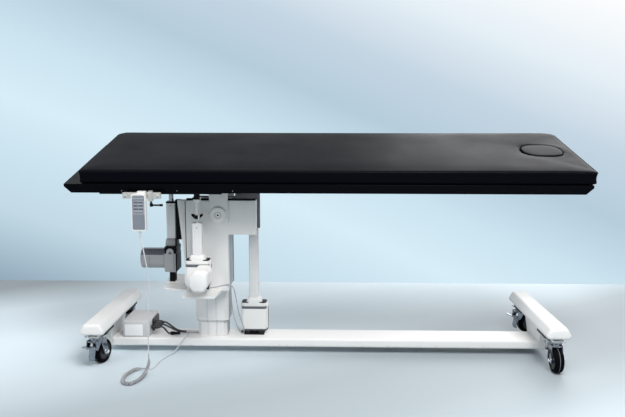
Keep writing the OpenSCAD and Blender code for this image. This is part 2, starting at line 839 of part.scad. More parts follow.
// The socket panel on the box's side, three plugs, two cables to the column and one to the handset's cord
module control_cables() color(dark) home() {
    reach = box_right + 40;
    up = beam_top + 40;
    low = beam_top + cable_d / 2 + 0.5;
    joint = lead_route[len(lead_route) - 1] - [44 + seat, 0, 0];
    translate([box_right + seat, -34, beam_top + 14]) rotate([90, 0, 90]) linear_extrude(7)
        translate([50, 28]) rounded(100, 56, 10);
    for (y = plug_ys) translate([box_right, y, up]) {
        across_x(20, seat, 30);
        across_x(14, 30, 40);
    }
    cord([
        [reach, plug_ys[0], up], [reach + 8, plug_ys[0], up], [reach + 18, plug_ys[0] + 1, up - 7],
        [reach + 27, plug_ys[0] + 3, up - 20], [reach + 34, joint[1], joint[2] + 3],
        [joint[0] - 8, joint[1], joint[2]], [joint[0] - 4, joint[1], joint[2]], joint
    ], cable_d, [0, 0, 1], 8, 3);
    for (i = [1 : 2]) cord([
        [reach, plug_ys[i], up], [reach + 12, plug_ys[i], up - 1],
        [reach + 34, 0.75 * plug_ys[i] - 4, up - 12], [reach + 62, 0.4 * plug_ys[i] - 8, low + 9],
        [reach + 92, (i - 1) * 10 - 12, low + 1.5], [-stage_w / 2 - 20, (i - 1) * 9 - 10, low],
        [-stage_w / 2 - seat, (i - 1) * 9 - 10, low]
    ], cable_d, [0, 0, 1], 8, 3);
}

// The handset's cord: hanging part, curly part, plain end and its connector
module handset_cord() color(grey) home() cord(hang_route, cord_d, [1, 0, 0], 8, 2);

module handset_lead() color(grey) home() cord(lead_route, cord_d, [0, 0, 1], 8, 2);

module cord_connector() color(dark) home() translate(lead_route[len(lead_route) - 1]) {
    across_x(13, -26, 0);
    across_x(17, -44, -26);
}

curl_points = smooth(curl_route, 6);
curl_sides = sides(curl_points, [1, 0, 0]);
curl_run = run(curl_points);
curl_length = curl_run[len(curl_run) - 1];
curl_r = (curl_d - cord_d) / 2;
curl_rings = 8;
curl_ends = 2 * cord_d;

function between(a, b, t) = a + (b - a) * t;
function place(s, i = 0) = i >= len(curl_run) - 2 || curl_run[i + 1] >= s ? i : place(s, i + 1);
function ease(t) = let (c = max(0, min(1, t))) c * c * (3 - 2 * c);
function swell(s) = curl_r * ease((s - curl_ends) / (2 * curl_d))
    * ease((curl_length - curl_ends - s) / (2 * curl_d));
function curl_centre(s) = let (
        i = place(s),
        t = (s - curl_run[i]) / (curl_run[i + 1] - curl_run[i]),
        c = between(curl_points[i], curl_points[i + 1], t),
        n = unit(between(curl_sides[i], curl_sides[i + 1], t)),
        b = cross(heading(curl_points, i), n),
        a = 360 * curls * (s - curl_ends) / (curl_length - 2 * curl_ends)
    ) c + swell(s) * (cos(a) * n + sin(a) * b);
curl_steps = curls * curl_rings;
curl_line = concat(
    [curl_centre(0), curl_centre(curl_ends / 2)],
    [for (k = [0 : curl_steps]) curl_centre(curl_ends + (curl_length - 2 * curl_ends) * k / curl_steps)],
    [curl_centre(curl_length - curl_ends / 2), curl_centre(curl_length)]
);
curl_middle = [for (k = [0 : curl_steps])
    curl_points[place(curl_ends + (curl_length - 2 * curl_ends) * k / curl_steps)]];
curl_gap = min([for (k = [2 * curl_rings : curl_steps - 2 * curl_rings])
    min([for (j = [-3 : 3]) norm(curl_line[k] - curl_line[k + curl_rings + j])])]) - cord_d;

module handset_curl() color(grey) home() {
    echo(least_gap_of_the_curls_mm = curl_gap);
    count = 6;
    skin([for (i = [0 : len(curl_line) - 1]) let (
            t = heading(curl_line, i),
            k = max(0, min(curl_steps, i - 2)),
            away = curl_line[i] - curl_middle[k],
            out = unit(away + [0.001, 0.002, 0.003]),
            n = square_to(norm(cross(out, t)) > 0.2 ? away : [0.3, 0.5, 1], t)
        ) ring(curl_line[i], n, t, cord_d / 2, count)]);
}

module motor_leads() color(grey) home() {
    cord(lead_one, lead_d, [0, 0, 1], 8, 1);
    cord(lead_two, lead_d, [0, 0, 1], 8, 1);
}

// Gimbal between the end tilt and the side tilt
module gimbal_frame() color(white) home() {
    for (y = [front_cheek, rear_cheek]) upright(y, y + cheek_t) difference() {
        translate([cheek_left, cheek_low])
            square([cheek_right - cheek_left, bridge_z + bridge_t - cheek_low]);
        translate([trend_x, trend_z]) circle(trunnion_d / 2 + 0.02);
    }
    translate([trend_x, front_cheek, trend_z]) rotate([90, 0, 0]) linear_extrude(disc_t) difference() {
        circle(disc_d / 2);
        circle(trunnion_d / 2 + 0.02);
    }
    translate([cheek_left - 27, front_cheek, bridge_z])
        cube([cheek_right - cheek_left + 45, rear_cheek + cheek_t - front_cheek, bridge_t]);
    translate([cheek_left - 27, -18, bridge_z + bridge_t - 1])
        cube([cheek_right - cheek_left + 45, 36, roll_z - bridge_z - bridge_t - roll_shaft_d / 2 - 4]);
    translate([0, 0, roll_z]) rotate([0, 90, 0]) translate([0, 0, roll_tube_from])
        linear_extrude(roll_tube_to - roll_tube_from) difference() {
            circle(roll_tube_r);
            circle(roll_shaft_d / 2 + 0.02);
        }
    upright(trend_drive_y - trend_lug_t / 2, trend_drive_y + trend_lug_t / 2) difference() {
        union() {
            translate([-trend_drive_x, trend_pin_z]) circle(trend_lug_r);
            translate([-trend_drive_x, trend_pin_z - trend_lug_r])
                square([trend_drive_x + cheek_left - 20, bridge_z + bridge_t - trend_pin_z + trend_lug_r]);
        }
        translate([-trend_drive_x, trend_pin_z]) circle(drive_pin_r + fit);
    }
}

module gimbal_shafts() color(steel) home() {
    translate([0, 0, roll_z]) across_x(roll_shaft_d, hangers[0] - 4, hangers[1] + hanger_t + 4);
    translate([trend_x, 0, trend_z]) {
        across_y(trunnion_d, front_cheek - disc_t, front_back - 2);
        across_y(trunnion_d, rear_face + 2, rear_cheek + cheek_t + 2);
    }
}

module trend_rod() color(steel) home() translate([-trend_drive_x, trend_drive_y, 0]) {
    inner = trend_lug_t / 2 + fork_gap;
    ear = 7;
    crown = trend_pin_z - trend_lug_r - 4;
    translate([0, 0, trend_tube_top - 92]) cylinder(r = trend_rod_r, h = crown - 6 - trend_tube_top + 92);
    translate([-15, -inner - ear, crown - 7]) cube([30, 2 * (inner + ear), 7]);
    for (y = [-inner - ear, inner]) upright(y, y + ear) union() {
        translate([0, trend_pin_z]) circle(15);
        translate([-15, crown - 1]) square([30, trend_pin_z - crown + 1]);
    }
    translate([0, 0, trend_pin_z]) across_y(2 * drive_pin_r, -inner - ear - 3, inner + ear + 3);
}

// Universal joint at the head of the side tilt drive
module tilt_cross() color(steel) home() translate([-tilt_drive_x, tilt_rest_y, tilt_rest_z]) {
    cube(cross_w, center = true);
    across_x(2 * cross_r, -cross_w / 2 - yoke_t, cross_w / 2 + yoke_t);
    across_y(2 * cross_r, -cross_w / 2 - yoke_t, cross_w / 2 + yoke_t);
}

module tilt_rod() color(steel) home() translate([-tilt_drive_x, tilt_rest_y, 0]) {
    flange = tilt_rest_z - rod_head_drop;
    for (y = [-cross_w / 2 - yoke_t, cross_w / 2 + fork_gap])
        upright(y, y + yoke_t - fork_gap) difference() {
            union() {
                translate([0, tilt_rest_z]) circle(9);
                translate([-9, flange]) square([18, rod_head_drop]);
            }
            translate([0, tilt_rest_z]) circle(cross_r + fit);
        }
    translate([-16, -cross_w / 2 - yoke_t, flange - 7]) cube([32, cross_w + 2 * yoke_t, 8]);
    translate([0, 0, wing_z]) cylinder(r = 8, h = flange - wing_z);
    translate([0, 0, wing_z]) cylinder(r = 12, h = 16);
    for (x = [-1, 1]) scale([x, 1, 1]) upright(-6, 6)
        translate([0, wing_z]) polygon([[8, 0], [14, 4], [24, 14], [24, 22], [16, 20], [8, 14]]);
    low = tilt_foot_z + drive_lift + drive_h - 24;
    translate([0, 0, low]) cylinder(r = rod_r, h = wing_z - low + 1);
}

// Frame under the top, with the roll hangers and the yoke of the side tilt drive
module sub_frame() color(dark) tilted() {
    translate([frame_left, -top_w / 2 + frame_inset, frame_under])
        cube([frame_right - frame_left, top_w - 2 * frame_inset, frame_t]);
    for (y = [-channel_in - channel_w, channel_in])
        translate([frame_left + 20, y, frame_under - channel_h])
            cube([frame_right - frame_left - 40, channel_w, channel_h + 1]);
    for (x = hangers) translate([x, 0, 0]) rotate([90, 0, 90]) linear_extrude(hanger_t) difference() {
        union() {
            translate([0, roll_z]) circle(hanger_r);
            translate([-hanger_r, roll_z]) square([2 * hanger_r, frame_under - roll_z + 1]);
        }
        translate([0, roll_z]) circle(roll_shaft_d / 2 + fit);
    }
    ear_t = yoke_t - fork_gap;
    for (side = [-1, 1])
        translate([-tilt_drive_x + side * (cross_w / 2 + fork_gap + ear_t / 2) - ear_t / 2, -tilt_drive_y, 0])
            rotate([90, 0, 90]) linear_extrude(ear_t) difference() {
                union() {
                    translate([0, roll_z]) circle(9);
                    translate([-9, roll_z]) square([18, frame_under - roll_z + 1]);
                }
                translate([0, roll_z]) circle(cross_r + fit);
            }
    for (x = standoffs) translate([x, -top_w / 2 + frame_inset + 1, top_under - standoff_d / 2 - 1])
        rotate([90, 0, 0]) cylinder(d = standoff_d, h = rail_gap + frame_inset + 1);
}

module top_outline(from, to, w) {
    r = top_corner_r;
    translate([from + r, -w / 2]) square([to - from - 2 * r, w]);
    translate([from, -w / 2]) square([to - from, w - r]);
    for (x = [from + r, to - r]) translate([x, w / 2 - r]) circle(r);
}

module tabletop_core() color(vinyl) tilted() difference() {
    translate([0, 0, top_under]) linear_extrude(top_t) top_outline(top_left, top_right, top_w);
    for (x = [top_left, top_right]) translate([x, 0, top_under]) rotate([0, 45, 0])
        cube([sqrt(2) * end_chamfer, top_w + 2, sqrt(2) * end_chamfer], center = true);
}

// The pad: a seam low down, drawn-in sides and a crowned top
pad_count = 8;
function arc(c, r, start, z) = [for (k = [0 : pad_count]) let (t = start + 90 * k / pad_count)
    [c[0] + r * cos(t), c[1] + r * sin(t), z]];
function pad_ring(inset, z) = let (
        w = top_w / 2 - inset,
        a = pad_left + inset,
        b = pad_right - inset,
        r = max(4, top_corner_r - inset)
    ) concat(
        arc([b - r, w - r], r, 0, z), arc([a + r, w - r], r, 90, z),
        arc([a + 12, 12 - w], 12, 180, z), arc([b - 12, 12 - w], 12, 270, z)
    );
pad_seam = pad_t - pad_crown;
pad_levels = [
    [8, 0], [2, 1.5], [0.5, 5], [2, 14], [3, pad_seam / 2], [1.5, pad_seam - 9], [0.5, pad_seam - 3],
    [3, pad_seam], [12, pad_seam + 0.3 * pad_crown], [60, pad_seam + 0.7 * pad_crown],
    [140, pad_t - 0.1 * pad_crown], [240, pad_t]
];

module plug_outline(grow) {
    l = plug_l / 2 + grow;
    w = plug_w / 2 + grow;
    polygon([for (k = [0 : 47]) let (
            t = 7.5 * k,
            c = pow(pow(abs(cos(t)), 2.6) + pow(abs(sin(t)), 2.6), -1 / 2.6)
        ) [plug_x + l * c * cos(t), w * c * sin(t)]]);
}

module pad() color(vinyl) tilted() difference() {
    skin([for (l = pad_levels) pad_ring(l[0], top_z + l[1])]);
    translate([0, 0, top_z - 1]) linear_extrude(pad_t + 2) plug_outline(seat);
}

module face_plug() color(vinyl) tilted() {
    translate([0, 0, top_z + seat]) linear_extrude(pad_t - seat - 1.6) plug_outline(-0.4);
    translate([0, 0, top_z + pad_t - 1.7]) linear_extrude(1) plug_outline(-1.6);
}

module accessory_rail() color(grey) tilted()
    translate([rail_from, rail_y - rail_t / 2, rail_z - rail_h / 2])
        cube([rail_to - rail_from, rail_t, rail_h]);

module rail_clamp() color(grey) tilted() translate([clamp_x, rail_y, rail_z]) difference() {
    translate([-9, -rail_t / 2 - 6, -rail_h / 2 - 9]) cube([18, rail_t + 12, rail_h + 14]);
    translate([-10, -rail_t / 2 - fit, -rail_h / 2 - fit]) cube([20, rail_t + 2 * fit, rail_h + 2 * fit]);
    translate([-10, rail_t / 2 - 1, -rail_h / 2 + 3]) cube([20, 8, rail_h - 6]);
    translate([0, 0, -rail_h / 2 - 10]) cylinder(r = 4 + fit, h = 10);
}

module clamp_lever() color(dark) tilted() translate([clamp_x, rail_y, rail_z - rail_h / 2]) {
    translate([0, 0, -26]) cylinder(r = 4, h = 26 - seat);
    translate([0, 0, -34]) cylinder(r = 6.5, h = 12);
    translate([0, 0, -29]) across_x(7, 0, 34);
    translate([0, 0, -29]) across_x(10, 34, 46);
}

// Handset
module handset_shell() color(white) home() translate([-handset_x, 0, 0]) {
    difference() {
        upright(handset_front, handset_back) translate([0, (handset_low + handset_top) / 2])
            rounded(handset_w, handset_h, 9);
        upright(handset_front - 1, handset_front + face_t + seat)
            translate([0, (handset_low + handset_top) / 2]) rounded(face_w + 2 * seat, face_h + 2 * seat, 6);
        for (i = [0 : 5]) key_place(i)
            translate([-key_w / 2 - seat, 0, -key_h / 2 - seat])
                cube([key_w + 2 * seat, 5, key_h + 2 * seat]);
    }
    translate([-hook_w / 2 + 7, handset_back - 6, handset_top - 12]) cube([hook_w, 6, 12 + 4 + hook_t]);
    translate([-hook_w / 2 + 7, handset_back - 6, hook_z]) cube([hook_w, 6 + hook_throat + hook_t, hook_t]);
    translate([-hook_w / 2 + 7, handset_back + hook_throat, hook_z - hook_drop])
        cube([hook_w, hook_t, hook_drop + hook_t]);
    translate([0, (handset_front + handset_back) / 2, handset_low - relief_l + 2])
        cylinder(r1 = cord_d / 2 + 1, r2 = 6, h = relief_l - 2 + 1);
}

// Place of a key's front face: three rows of two
module key_place(i) {
    translate([(i % 2 - 0.5) * key_gap, handset_front, handset_top - keys_top - floor(i / 2) * key_row])
        children();
}

module handset_face() color(grey) home() translate([-handset_x, 0, 0]) difference() {
    upright(handset_front, handset_front + face_t) translate([0, (handset_low + handset_top) / 2])
        rounded(face_w, face_h, 6);
    for (i = [0 : 5]) key_place(i)
        translate([-key_w / 2 - seat, -1, -key_h / 2 - seat])
            cube([key_w + 2 * seat, face_t + 2, key_h + 2 * seat]);
}

module key(i) {
    home() translate([-handset_x, 0, 0]) key_place(i)
        translate([-key_w / 2, -key_proud, -key_h / 2]) cube([key_w, key_t, key_h]);
}

module key_1() color(grey) key(0);
module key_2() color(grey) key(1);
module key_3() color(grey) key(2);
module key_4() color(grey) key(3);
module key_5() color(grey) key(4);
module key_6() color(grey) key(5);

base_beam();
foot_crossbars();
foot_cover_left();
foot_cover_right();
column_lower();
control_box();
control_cables();
lift_foot_bracket();
lift_motor_housing();
lift_outer_tube();
caster_mounts();
handset_cord();
handset_curl();
handset_lead();
cord_connector();
motor_leads();
column_middle();
column_upper();
spacer_frame();
front_plate();
rear_plate();
drive_shelves();
lift_rod();
drive_feet();
trend_motor_housing();
trend_outer_tube();
tilt_motor_housing();
tilt_outer_tube();
gimbal_frame();
gimbal_shafts();
trend_rod();
sub_frame();
tabletop_core();
pad();
face_plug();
accessory_rail();
rail_clamp();
clamp_lever();
handset_shell();
handset_face();
key_1();
key_2();
key_3();
key_4();
key_5();
key_6();
tilt_cross();
tilt_rod();
fork_front_left();
fork_front_right();
fork_rear_left();
fork_rear_right();
wheel_front_left();
wheel_front_right();
wheel_rear_left();
wheel_rear_right();
pedal_front_left();
pedal_front_right();
pedal_rear_left();
pedal_rear_right();
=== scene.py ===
"""Looks of a radiography table: padded carbon top, telescoping column, three drives and a caster base."""

import json
import logging
import math
from collections.abc import Callable, Iterable, Sequence
from dataclasses import dataclass, field
from enum import Enum

import bmesh
import bpy
from mathutils import Matrix, Vector


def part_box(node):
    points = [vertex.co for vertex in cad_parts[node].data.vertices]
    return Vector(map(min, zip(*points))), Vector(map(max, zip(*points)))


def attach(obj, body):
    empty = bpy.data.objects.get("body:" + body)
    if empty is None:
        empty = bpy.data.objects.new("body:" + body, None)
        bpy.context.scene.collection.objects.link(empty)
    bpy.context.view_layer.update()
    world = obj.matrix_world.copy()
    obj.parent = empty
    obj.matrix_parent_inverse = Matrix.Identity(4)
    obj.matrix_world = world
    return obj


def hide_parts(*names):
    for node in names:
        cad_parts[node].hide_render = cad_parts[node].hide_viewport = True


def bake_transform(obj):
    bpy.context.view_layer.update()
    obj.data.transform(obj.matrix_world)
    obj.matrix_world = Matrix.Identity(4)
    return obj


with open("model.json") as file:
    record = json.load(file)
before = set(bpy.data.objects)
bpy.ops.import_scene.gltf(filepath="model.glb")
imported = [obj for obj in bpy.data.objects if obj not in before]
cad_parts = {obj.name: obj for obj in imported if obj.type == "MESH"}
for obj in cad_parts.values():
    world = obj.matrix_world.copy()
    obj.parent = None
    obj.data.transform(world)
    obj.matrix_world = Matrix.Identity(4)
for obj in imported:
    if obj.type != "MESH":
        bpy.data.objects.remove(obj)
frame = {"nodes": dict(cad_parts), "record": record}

log = logging.getLogger("radiography_table")

MM = 0.001
SIDE_TILT = math.radians(13.5)
ROLL_AXIS_Z = 0.790
TOP_UNDER_Z = 0.825
TOP_Z = 0.863
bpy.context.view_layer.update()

Point = tuple[float, float, float]
Colour = tuple[float, float, float]
Outline = Sequence[tuple[float, float]]
Form = bmesh.types.BMesh
Piece = bpy.types.Object
Socket = bpy.types.NodeSocket


def middle_of(node: str) -> Vector:
    """The centre of a CAD node's box, in the row frame."""
    low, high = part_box(node)
    return (low + high) / 2


COLUMN = Vector((*middle_of("column_lower").xy, 0))
TILT_FRAME = (
    Matrix.Translation(COLUMN + Vector((0, 0, ROLL_AXIS_Z)))
    @ Matrix.Rotation(SIDE_TILT, 4, "X")
    @ Matrix.Translation(Vector((0, 0, -ROLL_AXIS_Z)))
)


def spot(x: float, y: float, z: float) -> Vector:
    """A point given in millimetres from the column's foot, in the row frame."""
    return COLUMN + Vector((x, y, z)) * MM


def box_of(node: str) -> tuple[Vector, Vector]:
    """The corners of a CAD node's box, in millimetres from the column's foot."""
    low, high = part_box(node)
    return (low - COLUMN) / MM, (high - COLUMN) / MM


def on_top(x: float, y: float, z: float) -> Vector:
    """A point given in millimetres on the level top, after the side tilt."""
    return TILT_FRAME @ (Vector((x, y, z)) * MM)


def body_of_node(node: str) -> str:
    """The name of the CAD body that holds a node."""
    bodies = frame["record"]["behaviour"]["bodies"]
    return next(body for body, nodes in bodies.items() if node in nodes)


def placed(name: str, data: bpy.types.ID) -> Piece:
    """Puts an object with the given data into the scene.

    Args:
        name: The object's name.
        data: Its mesh, curve, camera or lamp.

    Returns:
        The new object.
    """
    made = bpy.data.objects.new(name, data)
    bpy.context.scene.collection.objects.link(made)
    return made


# Finishes


class Skin(Enum):
    """The finishes of the table."""

    POWDER = "powder coat"
    COLUMN = "column paint"
    # Painted shade for the column stages' left and right faces.
    COLUMN_SIDE_PAINTED_SHADE = "column side, painted shade"
    DRIVE = "drive shell"
    DRIVE_GREY = "drive shell in shade grey"
    BAND = "drive band"
    # Painted shade for faces in the dark gap between the carriage plates.
    INNER_PAINTED_SHADE = "inner frame, painted shade"
    TUBE = "anodised tube"
    # A lighter copy of the tube finish: painted light that lifts the end drive's tube out of the top's
    # shadow.
    TUBE_PAINTED_LIGHT = "anodised tube, painted lighter"
    ROD = "ground rod"
    BLACK = "black paint"
    CARBON = "carbon laminate"
    VINYL = "upholstery vinyl"
    WELT = "upholstery welt"
    RAIL = "stainless rail"
    ZINC = "zinc plate"
    BRIGHT = "bright fastener"
    TYRE = "caster tread"
    SEAM = "tread mould line"
    HUB = "caster hub"
    WHITE_PLASTIC = "white plastic"
    BOX = "control box plastic"
    GREY_PLASTIC = "grey plastic"
    KEY_PLASTIC = "key plastic"
    BLACK_PLASTIC = "black plastic"
    PLATE = "bare plate"
    PRINT = "panel print"
    CORD = "handset cord"
    # A darker copy of the cord colour: painted shade for the coiled part.
    CURL_PAINTED_SHADE = "curly part of the handset cord, painted shade"
    LEAD = "drive lead"
    CABLE = "black cable"


def set_stops(ramp: bpy.types.Node, stops: Sequence[tuple[float, Colour]]) -> None:
    """Gives a colour ramp its stops.

    Args:
        ramp: The ramp's node.
        stops: Positions and colours.
    """
    elements = ramp.color_ramp.elements
    while len(elements) < len(stops):
        elements.new(0.5)
    for element, (position, colour) in zip(elements, stops):
        element.position = position
        element.color = (*colour, 1)


class Graph:
    """One material's node tree while it is being built."""

    def __init__(self, name: str) -> None:
        """Starts a material with its Principled shader and object coordinates.

        Args:
            name: The material's name.
        """
        self.material = bpy.data.materials.new(name)
        self.material.use_nodes = True
        self.tree = self.material.node_tree
        self.shader = self.tree.nodes["Principled BSDF"]
        self.place = self.node("ShaderNodeTexCoord").outputs["Object"]

    def node(self, kind: str, **settings: object) -> bpy.types.Node:
        """Adds a node.

        Args:
            kind: Blender's name for the node's type.
            **settings: Properties to set on the node.

        Returns:
            The new node.
        """
        made = self.tree.nodes.new(kind)
        for key, value in settings.items():
            setattr(made, key, value)
        return made

    def link(self, source: Socket, target: Socket) -> None:
        """Joins two sockets."""
        self.tree.links.new(source, target)

    def mapped(self, scale: Point, turn: Point = (0, 0, 0)) -> Socket:
        """Object coordinates, turned and then stretched.

        Args:
            scale: Stretch along each axis.
            turn: Rotation in radians.

        Returns:
            The mapped vector.
        """
        mapping = self.node("ShaderNodeMapping")
        mapping.inputs["Rotation"].default_value = turn
        mapping.inputs["Scale"].default_value = scale
        self.link(self.place, mapping.inputs["Vector"])
        return mapping.outputs["Vector"]

    def noise(self, scale: float, detail: float = 2.0, vector: Socket | None = None) -> Socket:
        """A noise pattern.

        Args:
            scale: Cells per metre, or per unit of the given vector.
            detail: Octaves.
            vector: What to read instead of plain object coordinates.

        Returns:
            The noise factor.
        """
        texture = self.node("ShaderNodeTexNoise")
        texture.inputs["Scale"].default_value = scale
        texture.inputs["Detail"].default_value = detail
        self.link(vector or self.place, texture.inputs["Vector"])
        return texture.outputs["Fac"]

    def ramp(self, factor: Socket, stops: Sequence[tuple[float, Colour]]) -> Socket:
        """A colour ramp.

        Args:
            factor: What drives it.
            stops: Positions and colours.

        Returns:
            The colour.
        """
        ramp = self.node("ShaderNodeValToRGB")
        set_stops(ramp, stops)
        self.link(factor, ramp.inputs["Fac"])
        return ramp.outputs["Color"]

    def range(
        self, factor: Socket, low: float, high: float, start: float = 0.3, end: float = 0.7
    ) -> Socket:
        """Spreads a factor over a new range.

        Args:
            factor: What to spread.
            low: Value at start.
            high: Value at end.
            start: Factor that gives low.
            end: Factor that gives high.

        Returns:
            The spread value.
        """
        node = self.node("ShaderNodeMapRange")
        for name, value in (("From Min", start), ("From Max", end), ("To Min", low), ("To Max", high)):
            node.inputs[name].default_value = value
        self.link(factor, node.inputs["Value"])
        return node.outputs["Result"]

    def math(self, operation: str, first: Socket, second: Socket | float) -> Socket:
        """Combines two values.

        Args:
            operation: Blender's name for the operation.
            first: The first value.
            second: The second value, or a number.

        Returns:
            The result.
        """
        node = self.node("ShaderNodeMath", operation=operation)
        self.link(first, node.inputs[0])
        if isinstance(second, (int, float)):
            node.inputs[1].default_value = second
        else:
            self.link(second, node.inputs[1])
        return node.outputs[0]

    def mix(self, factor: Socket, first: Socket | Colour, second: Colour) -> Socket:
        """Mixes two colours.

        Args:
            factor: The share of the second colour.
            first: A colour, or a socket that gives one.
            second: A colour.

        Returns:
            The mixed colour.
        """
        node = self.node("ShaderNodeMix", data_type="RGBA")
        self.link(factor, node.inputs["Factor"])
        if isinstance(first, tuple):
            node.inputs[6].default_value = (*first, 1)
        else:
            self.link(first, node.inputs[6])
        node.inputs[7].default_value = (*second, 1)
        return node.outputs[2]

    def height(self, value: Socket, strength: float, depth: float) -> None:
        """Bumps the surface.

        Args:
            value: The height pattern.
            strength: How strongly it shows.
            depth: Its real depth in metres.
        """
        bump = self.node("ShaderNodeBump")
        bump.inputs["Strength"].default_value = strength
        bump.inputs["Distance"].default_value = depth
        self.link(value, bump.inputs["Height"])
        self.link(bump.outputs["Normal"], self.shader.inputs["Normal"])

    def paint(self, colour: Socket) -> None:
        """Drives the base colour."""
        self.link(colour, self.shader.inputs["Base Color"])

    def dull(self, value: Socket) -> None:
        """Drives the roughness."""
        self.link(value, self.shader.inputs["Roughness"])

    def set(self, **values: float) -> None:
        """Sets constants on the shader's own sockets, with underscores for spaces."""
        for key, value in values.items():
            self.shader.inputs[key.replace("_", " ")].default_value = value


def shade(colour: Colour, factor: float) -> Colour:
    """A colour multiplied by a factor."""
    return tuple(min(1.0, part * factor) for part in colour)


@dataclass(frozen=True)
class Finish:
    """A finish with a name and a colour."""

    name: str
    colour: Colour

    def dress(self, graph: Graph) -> None:
        """Adds the finish's own pattern to a graph."""
        raise NotImplementedError

    def build(self) -> bpy.types.Material:
        """Makes the material.

        Returns:
            The material.
        """
        graph = Graph(self.name)
        graph.set(Base_Color=(*self.colour, 1))
        self.dress(graph)
        graph.material.diffuse_color = (*self.colour, 1)
        return graph.material


@dataclass(frozen=True)
class PowderCoat(Finish):
    """Baked paint with an orange-peel surface and scuffs near the floor."""

    roughness: float = 0.42
    scuff_below: float = 0.0
    coat: float = 0.12
    specular: float = 0.5

    def dress(self, graph: Graph) -> None:
        """Adds orange peel, cloudy tone and scuffs.

        Args:
            graph: The material's graph.
        """
        tone = graph.noise(3.5, 3)
        colour = graph.ramp(tone, ((0.3, shade(self.colour, 0.965)), (0.7, self.colour)))
        if self.scuff_below:
            split = graph.node("ShaderNodeSeparateXYZ")
            graph.link(graph.place, split.inputs[0])
            low = graph.range(split.outputs["Z"], 1, 0, self.scuff_below * 0.4, self.scuff_below)
            marks = graph.range(graph.noise(42, 6), 0, 0.5, 0.56, 0.66)
            colour = graph.mix(graph.math("MULTIPLY", low, marks), colour, shade(self.colour, 0.55))
        graph.paint(colour)
        graph.dull(graph.range(graph.noise(14, 4), self.roughness - 0.05, self.roughness + 0.07))
        graph.height(graph.noise(620, 2), 0.22, 0.00025)
        graph.set(Coat_Weight=self.coat, Coat_Roughness=0.25, Specular_IOR_Level=self.specular)


@dataclass(frozen=True)
class MouldedPlastic(Finish):
    """Moulded plastic with a fine spark-eroded grain."""

    roughness: float = 0.5
    grain: float = 1400.0
    coat: float = 0.0
    specular: float = 0.4

    def dress(self, graph: Graph) -> None:
        """Adds the grain and a slight variation of tone.

        Args:
            graph: The material's graph.
        """
        graph.paint(graph.ramp(graph.noise(9, 3), ((0.32, shade(self.colour, 0.95)), (0.7, self.colour))))
        graph.dull(graph.range(graph.noise(60, 3), self.roughness - 0.05, self.roughness + 0.06))
        graph.height(graph.noise(self.grain, 3), 0.18, 0.00012)
        graph.set(Coat_Weight=self.coat, Specular_IOR_Level=self.specular)


@dataclass(frozen=True)
class Metal(Finish):
    """Bare metal with a grain along one axis."""

    roughness: float = 0.3
    grain: Point = (900.0, 900.0, 14.0)
    metallic: float = 1.0

    def dress(self, graph: Graph) -> None:
        """Adds the drawn grain.

        Args:
            graph: The material's graph.
        """
        lines = graph.noise(1, 3, graph.mapped(self.grain))
        graph.paint(graph.ramp(lines, ((0.3, shade(self.colour, 0.86)), (0.7, self.colour))))
        graph.dull(graph.range(lines, self.roughness - 0.06, self.roughness + 0.08))
        graph.height(lines, 0.12, 0.00008)
        graph.set(Metallic=self.metallic)


@dataclass(frozen=True)
class ZincPlate(Finish):
    """Bright zinc with a cloudy bluish bloom."""

    def dress(self, graph: Graph) -> None:
        """Adds the bloom and small pits.

        Args:
            graph: The material's graph.
        """
        bloom = graph.noise(46, 5)
        cool = (self.colour[0] * 0.72, self.colour[1] * 0.76, self.colour[2] * 0.84)
        graph.paint(graph.ramp(bloom, ((0.32, cool), (0.68, self.colour))))
        graph.dull(graph.range(bloom, 0.12, 0.26))
        graph.height(graph.noise(520, 3), 0.12, 0.0001)
        graph.set(Metallic=1.0)


@dataclass(frozen=True)
class CarbonWeave(Finish):
    """Carbon cloth under a clear resin, woven along the top."""

    cell: float = 0.0024

    def dress(self, graph: Graph) -> None:
        """Adds the tow pattern and the resin coat.

        Args:
            graph: The material's graph.
        """
        turned = graph.mapped((1, 1, 1), (-SIDE_TILT, 0, 0))
        checks = graph.node("ShaderNodeTexChecker")
        checks.inputs["Scale"].default_value = 1 / self.cell
        graph.link(turned, checks.inputs["Vector"])
        graph.paint(
            graph.ramp(checks.outputs["Fac"], ((0.2, shade(self.colour, 0.6)), (0.8, self.colour)))
        )
        graph.dull(graph.range(graph.noise(70, 3), 0.3, 0.42))
        graph.height(checks.outputs["Fac"], 0.1, 0.00008)
        graph.set(Coat_Weight=0.02, Coat_Roughness=0.12, Specular_IOR_Level=0.03)


@dataclass(frozen=True)
class Vinyl(Finish):
    """Upholstery vinyl with a fine leather grain."""

    roughness: float = 0.46
    grain: float = 620.0

    def dress(self, graph: Graph) -> None:
        """Adds grain cells, creases and a slow change of gloss.

        Args:
            graph: The material's graph.
        """
        cells = graph.node("ShaderNodeTexVoronoi", feature="DISTANCE_TO_EDGE")
        cells.inputs["Scale"].default_value = self.grain
        warped = graph.node("ShaderNodeVectorMath", operation="ADD")
        wander = graph.node("ShaderNodeTexNoise")
        wander.inputs["Scale"].default_value = 300
        graph.link(graph.place, wander.inputs["Vector"])
        small = graph.node("ShaderNodeVectorMath", operation="SCALE")
        small.inputs["Scale"].default_value = 0.0016
        graph.link(wander.outputs["Color"], small.inputs[0])
        graph.link(graph.place, warped.inputs[0])
        graph.link(small.outputs[0], warped.inputs[1])
        graph.link(warped.outputs[0], cells.inputs["Vector"])
        grain = graph.range(cells.outputs["Distance"], 0, 1, 0.0, 0.16)
        graph.paint(graph.ramp(grain, ((0.0, shade(self.colour, 0.6)), (0.6, self.colour))))
        graph.dull(graph.range(graph.noise(5, 4), self.roughness - 0.03, self.roughness + 0.05))
        graph.height(graph.math("ADD", grain, graph.noise(26, 3)), 0.16, 0.00022)
        graph.set(Specular_IOR_Level=0.035)


